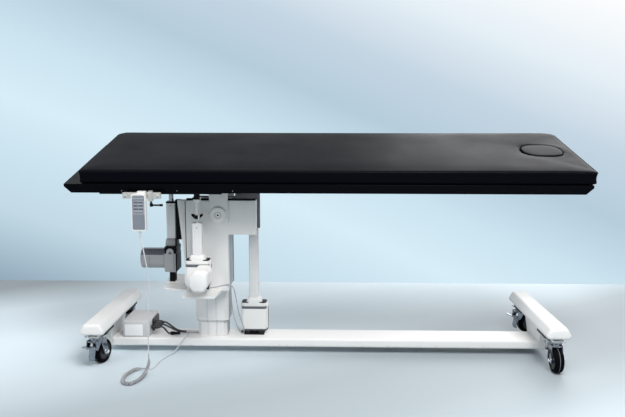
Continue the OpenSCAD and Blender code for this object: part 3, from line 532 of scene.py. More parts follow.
@dataclass(frozen=True)
class Rubber(Finish):
    """Moulded rubber, dull with a little dust."""

    dust: Colour = (0.16, 0.16, 0.16)

    def dress(self, graph: Graph) -> None:
        """Adds fine pits and dust.

        Args:
            graph: The material's graph.
        """
        dust = graph.range(graph.noise(38, 5), 0, 0.35, 0.48, 0.72)
        graph.paint(graph.mix(dust, self.colour, self.dust))
        graph.dull(graph.range(graph.noise(90, 3), 0.5, 0.72))
        graph.height(graph.noise(1500, 2), 0.2, 0.0001)
        graph.set(Specular_IOR_Level=0.03)


@dataclass(frozen=True)
class Sheath(Finish):
    """The sheath of a cord or cable."""

    roughness: float = 0.45

    def dress(self, graph: Graph) -> None:
        """Adds a slight ripple and tone.

        Args:
            graph: The material's graph.
        """
        graph.paint(graph.ramp(graph.noise(130, 2), ((0.3, shade(self.colour, 0.9)), (0.7, self.colour))))
        graph.dull(graph.range(graph.noise(200, 2), self.roughness - 0.05, self.roughness + 0.08))
        graph.height(graph.noise(900, 2), 0.12, 0.0001)


@dataclass
class Paintbox:
    """All the finishes of the table, made once."""

    made: dict[Skin, bpy.types.Material] = field(default_factory=dict)

    def mix(self) -> None:
        """Makes every finish."""
        recipes: dict[Skin, Finish] = {
            Skin.POWDER: PowderCoat("powder_coat_white", (0.84, 0.84, 0.83), scuff_below=0.05),
            Skin.COLUMN: PowderCoat("column_paint_grey", (0.79, 0.785, 0.78), roughness=0.36),
            Skin.COLUMN_SIDE_PAINTED_SHADE: PowderCoat("column_side_painted_shade", (0.26, 0.265, 0.28), roughness=0.4),
            Skin.DRIVE: PowderCoat("drive_shell_white", (0.82, 0.82, 0.81), roughness=0.38),
            Skin.DRIVE_GREY: PowderCoat("drive_shell_grey", (0.36, 0.37, 0.38), roughness=0.38),
            Skin.INNER_PAINTED_SHADE: PowderCoat("inner_frame_painted_shade", (0.24, 0.245, 0.265), roughness=0.45, specular=0.3),
            Skin.BAND: MouldedPlastic("drive_band_grey", (0.12, 0.13, 0.15), roughness=0.3, coat=0.2),
            Skin.TUBE: Metal("tube_anodised", (0.83, 0.825, 0.82), 0.45, (700, 700, 10), 0.12),
            # Painted light: a lighter copy of the tube finish, for the end drive's tube in the top's shadow.
            Skin.TUBE_PAINTED_LIGHT: Metal("tube_anodised_painted_light", (0.90, 0.895, 0.89), 0.45, (700, 700, 10), 0.12),
            Skin.ROD: Metal("rod_ground_steel", (0.60, 0.61, 0.63), 0.24, (40, 40, 1200)),
            Skin.BLACK: PowderCoat(
                "frame_black", (0.004, 0.004, 0.005), roughness=0.5, coat=0.0, specular=0.12
            ),
            Skin.CARBON: CarbonWeave("carbon_laminate", (0.002, 0.0022, 0.004)),
            Skin.VINYL: Vinyl("pad_vinyl_black", (0.0015, 0.002, 0.004)),
            Skin.WELT: Vinyl("pad_welt_black", (0.003, 0.0035, 0.006), roughness=0.38),
            Skin.RAIL: Metal("rail_stainless", (0.66, 0.65, 0.62), 0.34, (12, 800, 800), 0.5),
            Skin.ZINC: ZincPlate("zinc_clouded", (0.33, 0.34, 0.36)),
            Skin.BRIGHT: ZincPlate("zinc_bright", (0.86, 0.87, 0.88)),
            Skin.TYRE: Rubber("tread_black", (0.002, 0.002, 0.003), (0.006, 0.007, 0.011)),
            Skin.SEAM: Rubber("mould_line_grey", (0.22, 0.23, 0.25), (0.30, 0.31, 0.33)),
            Skin.HUB: MouldedPlastic("hub_dark", (0.014, 0.015, 0.018), roughness=0.35),
            Skin.WHITE_PLASTIC: MouldedPlastic("moulding_white", (0.76, 0.76, 0.755), coat=0.05),
            Skin.BOX: MouldedPlastic("box_pale_grey", (0.56, 0.56, 0.565), roughness=0.45),
            Skin.GREY_PLASTIC: MouldedPlastic("moulding_grey", (0.20, 0.22, 0.26), roughness=0.42),
            Skin.KEY_PLASTIC: MouldedPlastic("keys_grey", (0.11, 0.125, 0.16), roughness=0.4),
            Skin.BLACK_PLASTIC: MouldedPlastic(
                "moulding_black", (0.004, 0.004, 0.005), roughness=0.4, specular=0.1
            ),
            Skin.PLATE: MouldedPlastic("plate_white", (0.90, 0.90, 0.91), roughness=0.3, grain=400),
            Skin.PRINT: MouldedPlastic("print_pale", (0.62, 0.64, 0.67), roughness=0.4),
            Skin.CORD: Sheath("cord_light_grey", (0.62, 0.63, 0.66)),
            Skin.CURL_PAINTED_SHADE: Sheath("curl_painted_shade", (0.36, 0.365, 0.38)),
            Skin.LEAD: Sheath("lead_mid_grey", (0.40, 0.41, 0.44)),
            Skin.CABLE: Sheath("cable_black", (0.008, 0.008, 0.009)),
        }
        for skin, finish in recipes.items():
            self.made[skin] = finish.build()
            log.info("finish %s", finish.name)

    def __getitem__(self, skin: Skin) -> bpy.types.Material:
        """The material of a finish."""
        return self.made[skin]


# Workbench


@dataclass
class Bench:
    """Turns bmesh forms into pieces of the table."""

    paints: Paintbox
    count: int = 0

    def piece(
        self, name: str, form: Form, skin: Skin, body: str, slot: str, crease: float = 35.0
    ) -> Piece:
        """Makes a piece from a form, which is freed, and lets it ride on a body."""
        return self.fastened(self.loose(name, form, skin, crease), body, slot)

    def fastened(self, made: Piece, body: str, slot: str) -> Piece:
        """Lets an object ride on a body, and counts it.

        Args:
            made: The object.
            body: The CAD body that carries it.
            slot: The record's material slot. It is not used.

        Returns:
            The same object.
        """
        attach(made, body)
        self.count += 1
        log.info("piece %s on %s", made.name, body)
        return made

    def loose(self, name: str, form: Form, skin: Skin, crease: float = 35.0) -> Piece:
        """Makes an object from a form, without a body.

        Args:
            name: The object's name.
            form: The shape. It is freed.
            skin: The finish.
            crease: Edges sharper than this many degrees stay sharp.

        Returns:
            The new object.
        """
        mesh = bpy.data.meshes.new(name)
        form.to_mesh(mesh)
        form.free()
        mesh.shade_smooth()
        mesh.set_sharp_from_angle(angle=math.radians(crease))
        return self.shown(name, mesh, skin)

    def round_run(
        self, name: str, path: Sequence[Vector], radius: float, skin: Skin, sides: int = 12
    ) -> Piece:
        """Makes a round run along a path, without a body. The radius is in millimetres."""
        return self.shown(name, tube(name, path, radius * MM, sides), skin)

    def shown(self, name: str, mesh: bpy.types.Mesh, skin: Skin) -> Piece:
        """Puts a mesh with a finish into the scene."""
        mesh.materials.append(self.paints[skin])
        return placed(name, mesh)

    def paint_node(self, skin: Skin, *nodes: str) -> None:
        """Gives CAD nodes a finish.

        Args:
            skin: The finish.
            *nodes: The nodes' names.
        """
        for node in nodes:
            mesh = frame["nodes"][node].data
            mesh.materials.clear()
            mesh.materials.append(self.paints[skin])

    def eased(
        self,
        node: str,
        skin: Skin,
        slot: str,
        width: float = 1.2,
        clamp: bool = False,
        crease: float = 30.0,
    ) -> Piece:
        """Replaces a CAD node by a copy with eased edges.

        Args:
            node: The node's name.
            skin: The finish.
            slot: The record's material slot.
            width: The edge radius in millimetres.
            clamp: Whether short edges may limit the radius.
            crease: Edges sharper than this many degrees are eased.

        Returns:
            The new object.
        """
        form = bmesh.new()
        form.from_mesh(frame["nodes"][node].data)
        bmesh.ops.remove_doubles(form, verts=form.verts, dist=2e-6)
        bmesh.ops.dissolve_limit(
            form, angle_limit=math.radians(0.5), verts=form.verts, edges=form.edges, delimit={"NORMAL"}
        )
        made = self.piece(f"{node}_eased", form, skin, body_of_node(node), slot, crease)
        bevel = made.modifiers.new("eased", "BEVEL")
        bevel.width = width * MM
        bevel.segments = 2
        bevel.limit_method = "ANGLE"
        bevel.angle_limit = math.radians(crease)
        bevel.harden_normals = True
        bevel.use_clamp_overlap = clamp
        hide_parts(node)
        return made

    def repaint(self, made: Piece, skin: Skin, chosen: Callable[[Vector, Vector], bool]) -> None:
        """Gives some faces of a piece another finish.

        Args:
            made: The piece.
            skin: The other finish.
            chosen: Says, from a face's centre and normal, whether to repaint it.
        """
        made.data.materials.append(self.paints[skin])
        index = len(made.data.materials) - 1
        for face in made.data.polygons:
            if chosen(face.center, face.normal):
                face.material_index = index


def aligned(direction: Vector, place: Vector) -> Matrix:
    """A frame at a place, whose Z runs along a direction."""
    return Matrix.Translation(place) @ direction.to_track_quat("Z", "Y").to_matrix().to_4x4()


def turned(profile: Outline, direction: Vector, place: Vector, steps: int = 48) -> Form:
    """Spins a profile into a turned form.

    Args:
        profile: Radius and height pairs in millimetres.
        direction: The axis, which the heights run along.
        place: Where height 0 lies.
        steps: Segments round the axis.

    Returns:
        The form.
    """
    form = bmesh.new()
    verts = [form.verts.new(Vector((r, 0, h)) * MM) for r, h in profile]
    edges = [form.edges.new(pair) for pair in zip(verts, verts[1:])]
    bmesh.ops.spin(
        form,
        geom=verts + edges,
        cent=(0, 0, 0),
        axis=(0, 0, 1),
        angle=2 * math.pi,
        steps=steps,
        use_merge=True,
        use_duplicate=False,
    )
    bmesh.ops.remove_doubles(form, verts=form.verts, dist=1e-6)
    bmesh.ops.recalc_face_normals(form, faces=form.faces)
    bmesh.ops.transform(form, matrix=aligned(direction, place), verts=form.verts)
    return form


def is_level(edge: bmesh.types.BMEdge, slack: float = 1e-6) -> bool:
    """Whether both ends of an edge lie at one height."""
    return abs(edge.verts[0].co.z - edge.verts[1].co.z) < slack


def rounded(form: Form, edges: Sequence[bmesh.types.BMEdge], radius: float, segments: int = 3) -> None:
    """Rounds some edges of a form.

    Args:
        form: The form, which is changed.
        edges: The edges.
        radius: Their radius in millimetres.
        segments: Facets across each edge.
    """
    bmesh.ops.bevel(
        form,
        geom=edges,
        offset=radius * MM,
        segments=segments,
        profile=0.5,
        affect="EDGES",
        material=-1,
    )


def moved(form: Form, way: Vector) -> Form:
    """Moves a form, and returns it."""
    bmesh.ops.translate(form, vec=way, verts=form.verts)
    return form


def block(low: Vector, high: Vector, ease: float = 1.0, segments: int = 2) -> Form:
    """A block with eased edges.

    Args:
        low: Its lowest corner.
        high: Its highest corner.
        ease: The edge radius in millimetres.
        segments: Facets across each edge.

    Returns:
        The form.
    """
    form = bmesh.new()
    bmesh.ops.create_cube(form, size=1)
    bmesh.ops.scale(form, vec=high - low, verts=form.verts)
    bmesh.ops.translate(form, vec=(low + high) / 2, verts=form.verts)
    if ease:
        rounded(form, form.edges[:], ease, segments)
    return form


def slab(low: Point, high: Point, corner: float, low_ease: float = 1.0, high_ease: float = 1.0) -> Form:
    """An upright block with rounded corners and eased rims, in millimetres about its own origin.

    Args:
        low: Its lowest corner.
        high: Its highest corner.
        corner: The radius of its upright corners.
        low_ease: The radius of its lower rim.
        high_ease: The radius of its upper rim.

    Returns:
        The form.
    """
    form = block(Vector(low) * MM, Vector(high) * MM, 0)
    upright = [e for e in form.edges if not is_level(e)]
    rounded(form, upright, corner, 6)
    for height, ease in ((low[2], low_ease), (high[2], high_ease)):
        if ease:
            rim = [e for e in form.edges if all(abs(v.co.z - height * MM) < 1e-6 for v in e.verts)]
            rounded(form, rim, ease)
    return form


def arc(
    centre: tuple[float, float], radius: float, start: float, end: float, steps: int = 6
) -> list[tuple[float, float]]:
    """Points of an arc round a centre, between two angles in degrees."""
    angles = (math.radians(start + (end - start) * k / steps) for k in range(steps + 1))
    return [(centre[0] + radius * math.cos(a), centre[1] + radius * math.sin(a)) for a in angles]


def prism(outline: Outline, depth: float, place: Matrix, ease: float = 0.0, edge: float = 0.0) -> Form:
    """A flat outline given a depth.

    Args:
        outline: Its points in millimetres, anticlockwise.
        depth: How far it reaches along its own Z in millimetres.
        place: The frame that it is drawn in.
        ease: The radius of its two rims.
        edge: The radius of its corners.

    Returns:
        The form.
    """
    form = bmesh.new()
    face = form.faces.new([form.verts.new(Vector((a, b, 0)) * MM) for a, b in outline])
    raised = bmesh.ops.extrude_face_region(form, geom=[face], use_keep_orig=True)
    lifted = [g for g in raised["geom"] if isinstance(g, bmesh.types.BMVert)]
    bmesh.ops.translate(form, vec=(0, 0, depth * MM), verts=lifted)
    bmesh.ops.recalc_face_normals(form, faces=form.faces)
    if edge:
        long = [e for e in form.edges if not is_level(e)]
        rounded(form, long, edge)
    if ease:
        rims = [e for e in form.edges if is_level(e)]
        rounded(form, rims, ease)
    bmesh.ops.transform(form, matrix=place, verts=form.verts)
    return form


def facing_front(place: Vector) -> Matrix:
    """A frame drawn across and up, whose depth runs towards the front."""
    return Matrix.Translation(place) @ Matrix.Rotation(math.pi / 2, 4, "X")


def stepped(form: Form, face: bmesh.types.BMFace, steps: Outline) -> None:
    """Draws a face in and out in steps.

    Args:
        form: The form, which is changed.
        face: The face.
        steps: How far each step draws in and how far it moves out, in millimetres.
    """
    for inset, rise in steps:
        bmesh.ops.inset_region(
            form, faces=[face], thickness=inset * MM, depth=rise * MM, use_even_offset=True
        )


def end_face(form: Form, way: Point) -> bmesh.types.BMFace:
    """The face of a form that lies furthest along a direction."""
    return max(form.faces, key=lambda f: (Vector(way).dot(f.calc_center_median()), f.calc_area()))


def band(inner: float, outer: float, low: float, high: float) -> Outline:
    """The closed section of a flat ring, from its two radii and its two levels."""
    return (inner, low), (outer, low), (outer, high), (inner, high), (inner, low)


def mirrored(half: Outline) -> Outline:
    """A closed section, from the half below its middle level."""
    return [*half, *((radius, -level) for radius, level in reversed(half)), half[0]]


def bored(form: Form, radius: float, floor: float | None = None) -> Form:
    """Bores a round upright hole at the middle of a form.

    Args:
        form: The form, which is changed.
        radius: The hole's radius in millimetres.
        floor: The height of the hole's floor, or None for a hole right through.

    Returns:
        The same form.
    """
    mouths = []
    for sign in (1, -1)[: 2 if floor is None else 1]:
        face = max(form.faces, key=lambda f: sign * f.calc_center_median().z)
        bmesh.ops.inset_region(form, faces=[face], thickness=0.5 * MM, use_even_offset=True)
        ordered = sorted(face.verts, key=lambda v: math.atan2(v.co.y, v.co.x))
        step = 2 * math.pi / len(ordered)
        for k, vert in enumerate(ordered):
            angle = (k + 0.5) * step - math.pi
            vert.co.xy = Vector((math.cos(angle), math.sin(angle))) * radius * MM
        mouths.append(face)
    if floor is not None:
        drop = floor * MM - mouths[0].verts[0].co.z
        bmesh.ops.inset_region(form, faces=mouths, thickness=0.05 * MM, depth=drop, use_even_offset=True)
        return form
    edges = [edge for face in mouths for edge in face.edges]
    bmesh.ops.delete(form, geom=mouths, context="FACES_ONLY")
    bmesh.ops.bridge_loops(form, edges=edges)
    return form


def joined(forms: Iterable[Form]) -> Form:
    """Puts several forms into one.

    Args:
        forms: The forms, which are freed.

    Returns:
        The joined form.
    """
    whole = bmesh.new()
    for form in forms:
        mesh = bpy.data.meshes.new("part")
        form.to_mesh(mesh)
        form.free()
        whole.from_mesh(mesh)
        bpy.data.meshes.remove(mesh)
    return whole


def cap_screw(place: Vector, direction: Vector, radius: float = 4.0, head: float = 3.0) -> Form:
    """A button-head screw with a hexagon socket.

    Args:
        place: Where the head meets its seat.
        direction: The way the head faces.
        radius: The head's radius in millimetres.
        head: The head's height in millimetres.

    Returns:
        The form.
    """
    form = bmesh.new()
    socket = bmesh.ops.create_circle(form, cap_ends=True, radius=radius * 0.45 * MM, segments=6)
    bmesh.ops.translate(form, vec=(0, 0, head * 0.45 * MM), verts=socket["verts"])
    rim = bmesh.ops.extrude_edge_only(form, edges=[e for e in form.edges if e.is_boundary])
    raised = [g for g in rim["geom"] if isinstance(g, bmesh.types.BMVert)]
    bmesh.ops.translate(form, vec=(0, 0, head * 0.55 * MM), verts=raised)
    for out, drop in ((0.72, 0.06), (1.0, 0.45), (1.0, 1.0)):
        edges = [e for e in form.edges if e.is_boundary]
        step = bmesh.ops.extrude_edge_only(form, edges=edges)
        for vert in (g for g in step["geom"] if isinstance(g, bmesh.types.BMVert)):
            flat = vert.co.xy.normalized() * radius * out * MM
            vert.co = Vector((flat.x, flat.y, head * (1 - drop) * MM))
    bmesh.ops.subdivide_edges(
        form,
        edges=[e for e in form.edges if is_level(e, 1e-7) and e.calc_length() > radius * 0.6 * MM],
        cuts=2,
    )
    for vert in form.verts:
        reach = vert.co.xy.length
        if reach > radius * 0.62 * MM:
            wanted = radius * (1.0 if vert.co.z < head * 0.6 * MM else 0.72) * MM
            vert.co.xy = vert.co.xy.normalized() * wanted
    bmesh.ops.recalc_face_normals(form, faces=form.faces)
    bmesh.ops.transform(form, matrix=aligned(direction, place), verts=form.verts)
    return form


def hex_nut(place: Vector, direction: Vector, across: float = 13.0, height: float = 5.0) -> Form:
    """A hexagon nut with chamfered corners.

    Args:
        place: Where the nut meets its seat.
        direction: The way it faces.
        across: Its width across the corners in millimetres.
        height: Its height in millimetres.

    Returns:
        The form.
    """
    form = bmesh.new()
    bmesh.ops.create_cone(
        form, cap_ends=True, segments=6, radius1=across / 2 * MM, radius2=across / 2 * MM, depth=height * MM
    )
    bmesh.ops.translate(form, vec=(0, 0, height / 2 * MM), verts=form.verts)
    upper = [e for e in form.edges if all(v.co.z > height * 0.9 * MM for v in e.verts)]
    rounded(form, upper, 0.9, 2)
    bmesh.ops.transform(form, matrix=aligned(direction, place), verts=form.verts)
    return form


def smooth_route(points: Sequence[Sequence[float]], steps: int = 4) -> list[Vector]:
    """A smooth route through chosen points.

    Args:
        points: The points.
        steps: Steps from one point to the next.

    Returns:
        The points of the smooth route.
    """
    line = [Vector(p) for p in points]
    padded = [line[0]] + line + [line[-1]]
    out = []
    for i in range(1, len(padded) - 2):
        a, b, c, d = padded[i - 1 : i + 3]
        for k in range(steps):
            t = k / steps
            curve = (2 * a - 5 * b + 4 * c - d) * t * t + (3 * b - a - 3 * c + d) * t**3
            out.append(0.5 * (2 * b + (c - a) * t + curve))
    return out + [line[-1]]


def tube(name: str, path: Sequence[Vector], radius: float, sides: int = 12) -> bpy.types.Mesh:
    """A round tube along a path, closed at both ends.

    Args:
        name: The mesh's name.
        path: The points of its middle line.
        radius: Its radius in metres.
        sides: Facets round it.

    Returns:
        The mesh.
    """
    curve = bpy.data.curves.new(name, "CURVE")
    curve.dimensions = "3D"
    curve.bevel_depth = radius
    curve.bevel_resolution = max(0, sides // 4 - 1)
    curve.use_fill_caps = True
    curve.twist_mode = "MINIMUM"
    spline = curve.splines.new("POLY")
    spline.points.add(len(path) - 1)
    for target, point in zip(spline.points, path):
        target.co = (*point, 1)
    holder = placed(name, curve)
    bpy.context.view_layer.update()
    mesh = bpy.data.meshes.new_from_object(holder.evaluated_get(bpy.context.evaluated_depsgraph_get()))
    bpy.data.objects.remove(holder)
    bpy.data.curves.remove(curve)
    form = bmesh.new()
    form.from_mesh(mesh)
    bmesh.ops.remove_doubles(form, verts=form.verts, dist=1e-6)
    bmesh.ops.recalc_face_normals(form, faces=form.faces)
    form.to_mesh(mesh)
    form.free()
    mesh.name = name
    mesh.shade_smooth()
    mesh.set_sharp_from_angle(angle=math.radians(60))
    return mesh


def smooth_step(share: float) -> float:
    """A smooth step from 0 to 1."""
    share = min(1.0, max(0.0, share))
    return share * share * (3 - 2 * share)


def length_of(path: Sequence[Vector]) -> float:
    """The length of a path."""
    return sum((b - a).length for a, b in zip(path, path[1:]))


# Studio


@dataclass
class Studio:
    """The camera, the floor and the soft light."""

    lens: float = 38.80
    eye: Point = (0.520, -3.0067, 1.0711)
    turn: float = 0.0222
    down: float = 0.1391
    roll: float = -0.0017
    sensor: float = 36.0
    floor_reach: float = 9.0
    floor_back: float = 1.22
    floor_slope: float = -0.62
    floor_band: tuple[float, float] = (-1.8, 2.0)
    floor_tint: Colour = (1.0, 1.145, 1.235)
    aim: Point = (0.45, 0.0, 0.5)
    sky_slope: float = 0.42
    sky_band: tuple[float, float] = (-0.45, 0.35)
    fill_light: float = 0.30

    def build(self) -> None:
        """Sets up the whole studio."""
        bpy.context.scene.view_settings.view_transform = "Standard"
        self.camera()
        self.floor()
        self.lamps()
        self.sky()

    def camera(self) -> None:
        """Places the camera as the photograph's."""
        data = bpy.data.cameras.new("photo_camera")
        data.lens = self.lens
        data.sensor_width = self.sensor
        holder = placed("photo_camera", data)
        turn = (
            Matrix.Rotation(self.turn, 4, "Z")
            @ Matrix.Rotation(-self.down, 4, "X")
            @ Matrix.Rotation(self.roll, 4, "Y")
            @ Matrix.Rotation(math.pi / 2, 4, "X")
        )
        holder.matrix_world = Matrix.Translation(COLUMN + Vector(self.eye)) @ turn
        bpy.context.scene.camera = holder

    def floor(self) -> None:
        """Lays a pale floor that ends behind the table, with painted light and shade in slanting bands."""
        form = bmesh.new()
        bmesh.ops.create_grid(form, x_segments=1, y_segments=1, size=0.5)
        depth = self.floor_reach + self.floor_back
        bmesh.ops.scale(form, vec=(2 * self.floor_reach, depth, 1), verts=form.verts)
        bmesh.ops.translate(
            form, vec=COLUMN + Vector((0.5, self.floor_back - depth / 2, 0)), verts=form.verts
        )
        graph = Graph("studio_floor")
        split = graph.node("ShaderNodeSeparateXYZ")
        graph.link(graph.place, split.inputs[0])
        across = graph.math("MULTIPLY", split.outputs["X"], self.floor_slope)
        lean = graph.math("ADD", split.outputs["Y"], across)
        middle = COLUMN.y + self.floor_slope * COLUMN.x
        start, end = (middle + reach for reach in self.floor_band)
        spread = graph.range(lean, 0, 1, start, end)
        cloud = graph.math("MULTIPLY", graph.noise(0.8, 2), 0.04)
        # Painted light and shade: these levels brighten and darken the floor in slanting bands.
        shades = (
            (0.04, 0.60), (0.12, 0.46), (0.20, 0.40), (0.31, 0.38), (0.37, 0.42), (0.44, 0.58),
            (0.52, 0.70), (0.60, 0.78), (0.68, 0.84), (0.84, 0.80), (0.90, 0.64), (1.0, 0.36),
        )
        stops = [(stop, tuple(level * part for part in self.floor_tint)) for stop, level in shades]
        graph.paint(graph.ramp(graph.math("ADD", spread, cloud), stops))
        graph.set(Roughness=0.55, Specular_IOR_Level=0.25)
        mesh = bpy.data.meshes.new("studio_floor")
        form.to_mesh(mesh)
        form.free()
        mesh.materials.append(graph.material)
        placed("studio_floor", mesh)

    def lamps(self) -> None:
        """Hangs four large soft lamps."""
        for name, place, size, power, tint in (
            ("key", (1.3, -2.3, 3.2), 1.6, 96, (1.0, 0.99, 0.98)),
            ("left", (-2.4, -2.7, 2.2), 1.8, 32, (0.99, 0.99, 1.0)),
            ("over", (0.6, -1.3, 3.4), 2.4, 38, (1.0, 1.0, 1.0)),
            ("rear", (2.3, 2.5, 2.2), 2.8, 60, (0.98, 0.99, 1.0)),
        ):
            data = bpy.data.lights.new(name, "AREA")
            data.shape = "DISK"
            data.size = size
            data.energy = power
            data.color = tint
            lamp = placed(name, data)
            lamp.location = COLUMN + Vector(place)
            way = COLUMN + Vector(self.aim) - lamp.location
            lamp.rotation_euler = way.to_track_quat("-Z", "Y").to_euler()

    def sky(self) -> None:
        """Shows a pale blue backdrop to the camera and lights the table evenly."""
        world = bpy.data.worlds.new("studio")
        world.use_nodes = True
        bpy.context.scene.world = world
        tree = world.node_tree
        tree.nodes.clear()
        new, link = tree.nodes.new, tree.links.new
        way = new("ShaderNodeTexCoord").outputs["Generated"]
        split = new("ShaderNodeSeparateXYZ")
        link(way, split.inputs[0])
        slant = new("ShaderNodeMath")
        slant.operation = "MULTIPLY_ADD"
        slant.inputs[1].default_value = self.sky_slope
        link(split.outputs["X"], slant.inputs[0])
        link(split.outputs["Z"], slant.inputs[2])
        spread = new("ShaderNodeMapRange")
        spread.inputs["From Min"].default_value, spread.inputs["From Max"].default_value = self.sky_band
        link(slant.outputs[0], spread.inputs["Value"])
        ramp = new("ShaderNodeValToRGB")
        stops = (
            (0.025, (0.250, 0.345, 0.450)),
            (0.065, (0.310, 0.420, 0.520)),
            (0.175, (0.546, 0.701, 0.791)),
            (0.265, (0.600, 0.768, 0.863)),
            (0.365, (0.686, 0.855, 0.947)),
            (0.475, (0.604, 0.776, 0.871)),
            (0.590, (0.468, 0.610, 0.716)),
            (0.700, (0.552, 0.665, 0.768)),
            (0.825, (0.791, 0.871, 0.930)),
            (0.960, (1.0, 1.0, 1.0)),
        )
        set_stops(ramp, stops)
        link(spread.outputs["Result"], ramp.inputs["Fac"])
        seen = new("ShaderNodeBackground")
        link(ramp.outputs["Color"], seen.inputs["Color"])
        seen.inputs["Strength"].default_value = 1.0
        light = new("ShaderNodeBackground")
        light.inputs["Color"].default_value = (0.96, 0.98, 1.0, 1)
        light.inputs["Strength"].default_value = self.fill_light
        path = new("ShaderNodeLightPath")
        sees = path.outputs["Is Camera Ray"]
        for ray in ("Is Glossy Ray", "Is Transmission Ray"):
            either = new("ShaderNodeMath")
            either.operation = "MAXIMUM"
            link(sees, either.inputs[0])
            link(path.outputs[ray], either.inputs[1])
            sees = either.outputs[0]
        choose = new("ShaderNodeMixShader")
        link(sees, choose.inputs["Fac"])
        link(light.outputs[0], choose.inputs[1])
        link(seen.outputs[0], choose.inputs[2])
        link(choose.outputs[0], new("ShaderNodeOutputWorld").inputs["Surface"])


# Cords

HANG_ROUTE = (
    (-234, -350, 581), (-231, -351, 562), (-224, -354, 540), (-216, -357, 500), (-208, -359, 450),
    (-203, -360, 400), (-204, -360, 350), (-208, -360, 300), (-210, -360, 240), (-211, -361, 180),
    (-212, -361, 138), (-212, -361, 114), (-212, -361, 92),
)
CURL_ROUTE = (
    (-212, -361, 92), (-212, -361, 84), (-212, -361, 76), (-212, -363, 58), (-215, -369, 40),
    (-220, -380, 25), (-227, -396, 14), (-234, -416, 9), (-241, -437, 8.5), (-251, -457, 8.5),
    (-267, -467, 8.5), (-285, -460, 8.5), (-298, -441, 8.5), (-304, -416, 8.5), (-305, -388, 8.5),
    (-301, -360, 8.5), (-292, -334, 8.5), (-278, -313, 8.5), (-264, -305, 8.5), (-252, -304, 8.5),
    (-246, -304, 8.5), (-240, -304, 8.5),
)
LEAD_ROUTE = (
    (-240, -304, 8.5), (-235, -304, 8.5), (-230, -304, 8.5), (-220, -298, 5), (-215, -280, 3),
    (-211, -250, 3), (-206, -210, 3), (-197, -170, 3), (-184, -134, 3), (-171, -112, 6),
    (-157, -98, 20), (-142, -93, 42), (-127, -90, 63), (-114, -80, 76), (-109, -66, 79),
    (-114, -52, 77.5), (-126, -45, 77), (-138, -44, 77), (-144, -44, 77), (-150, -44, 77),
)
DRIVE_LEADS = (
    (
        (23.3, -256, 346), (28, -256, 346), (33, -256, 346), (52, -243, 346), (70, -214, 344),
        (86, -178, 338), (96, -148, 322), (98, -127, 296), (97, -112, 262), (98, -100, 222),
        (102, -88, 180), (109, -74, 140), (118, -60, 110), (126, -46, 88), (130, -34, 76),
        (130, -24, 72.5), (130, -16, 72.5), (130, -8, 72.5),
    ),
    (
        (23.3, -248, 346), (28, -248, 346), (33, -248, 346), (55, -231, 346), (75, -200, 344),
        (93, -164, 338), (106, -134, 320), (112, -112, 290), (116, -96, 252), (120, -82, 212),
        (126, -70, 172), (134, -58, 138), (140, -48, 112), (142, -38, 90), (138, -30, 77),
        (138, -24, 72.5), (138, -16, 72.5), (138, -8, 72.5),
    ),
)


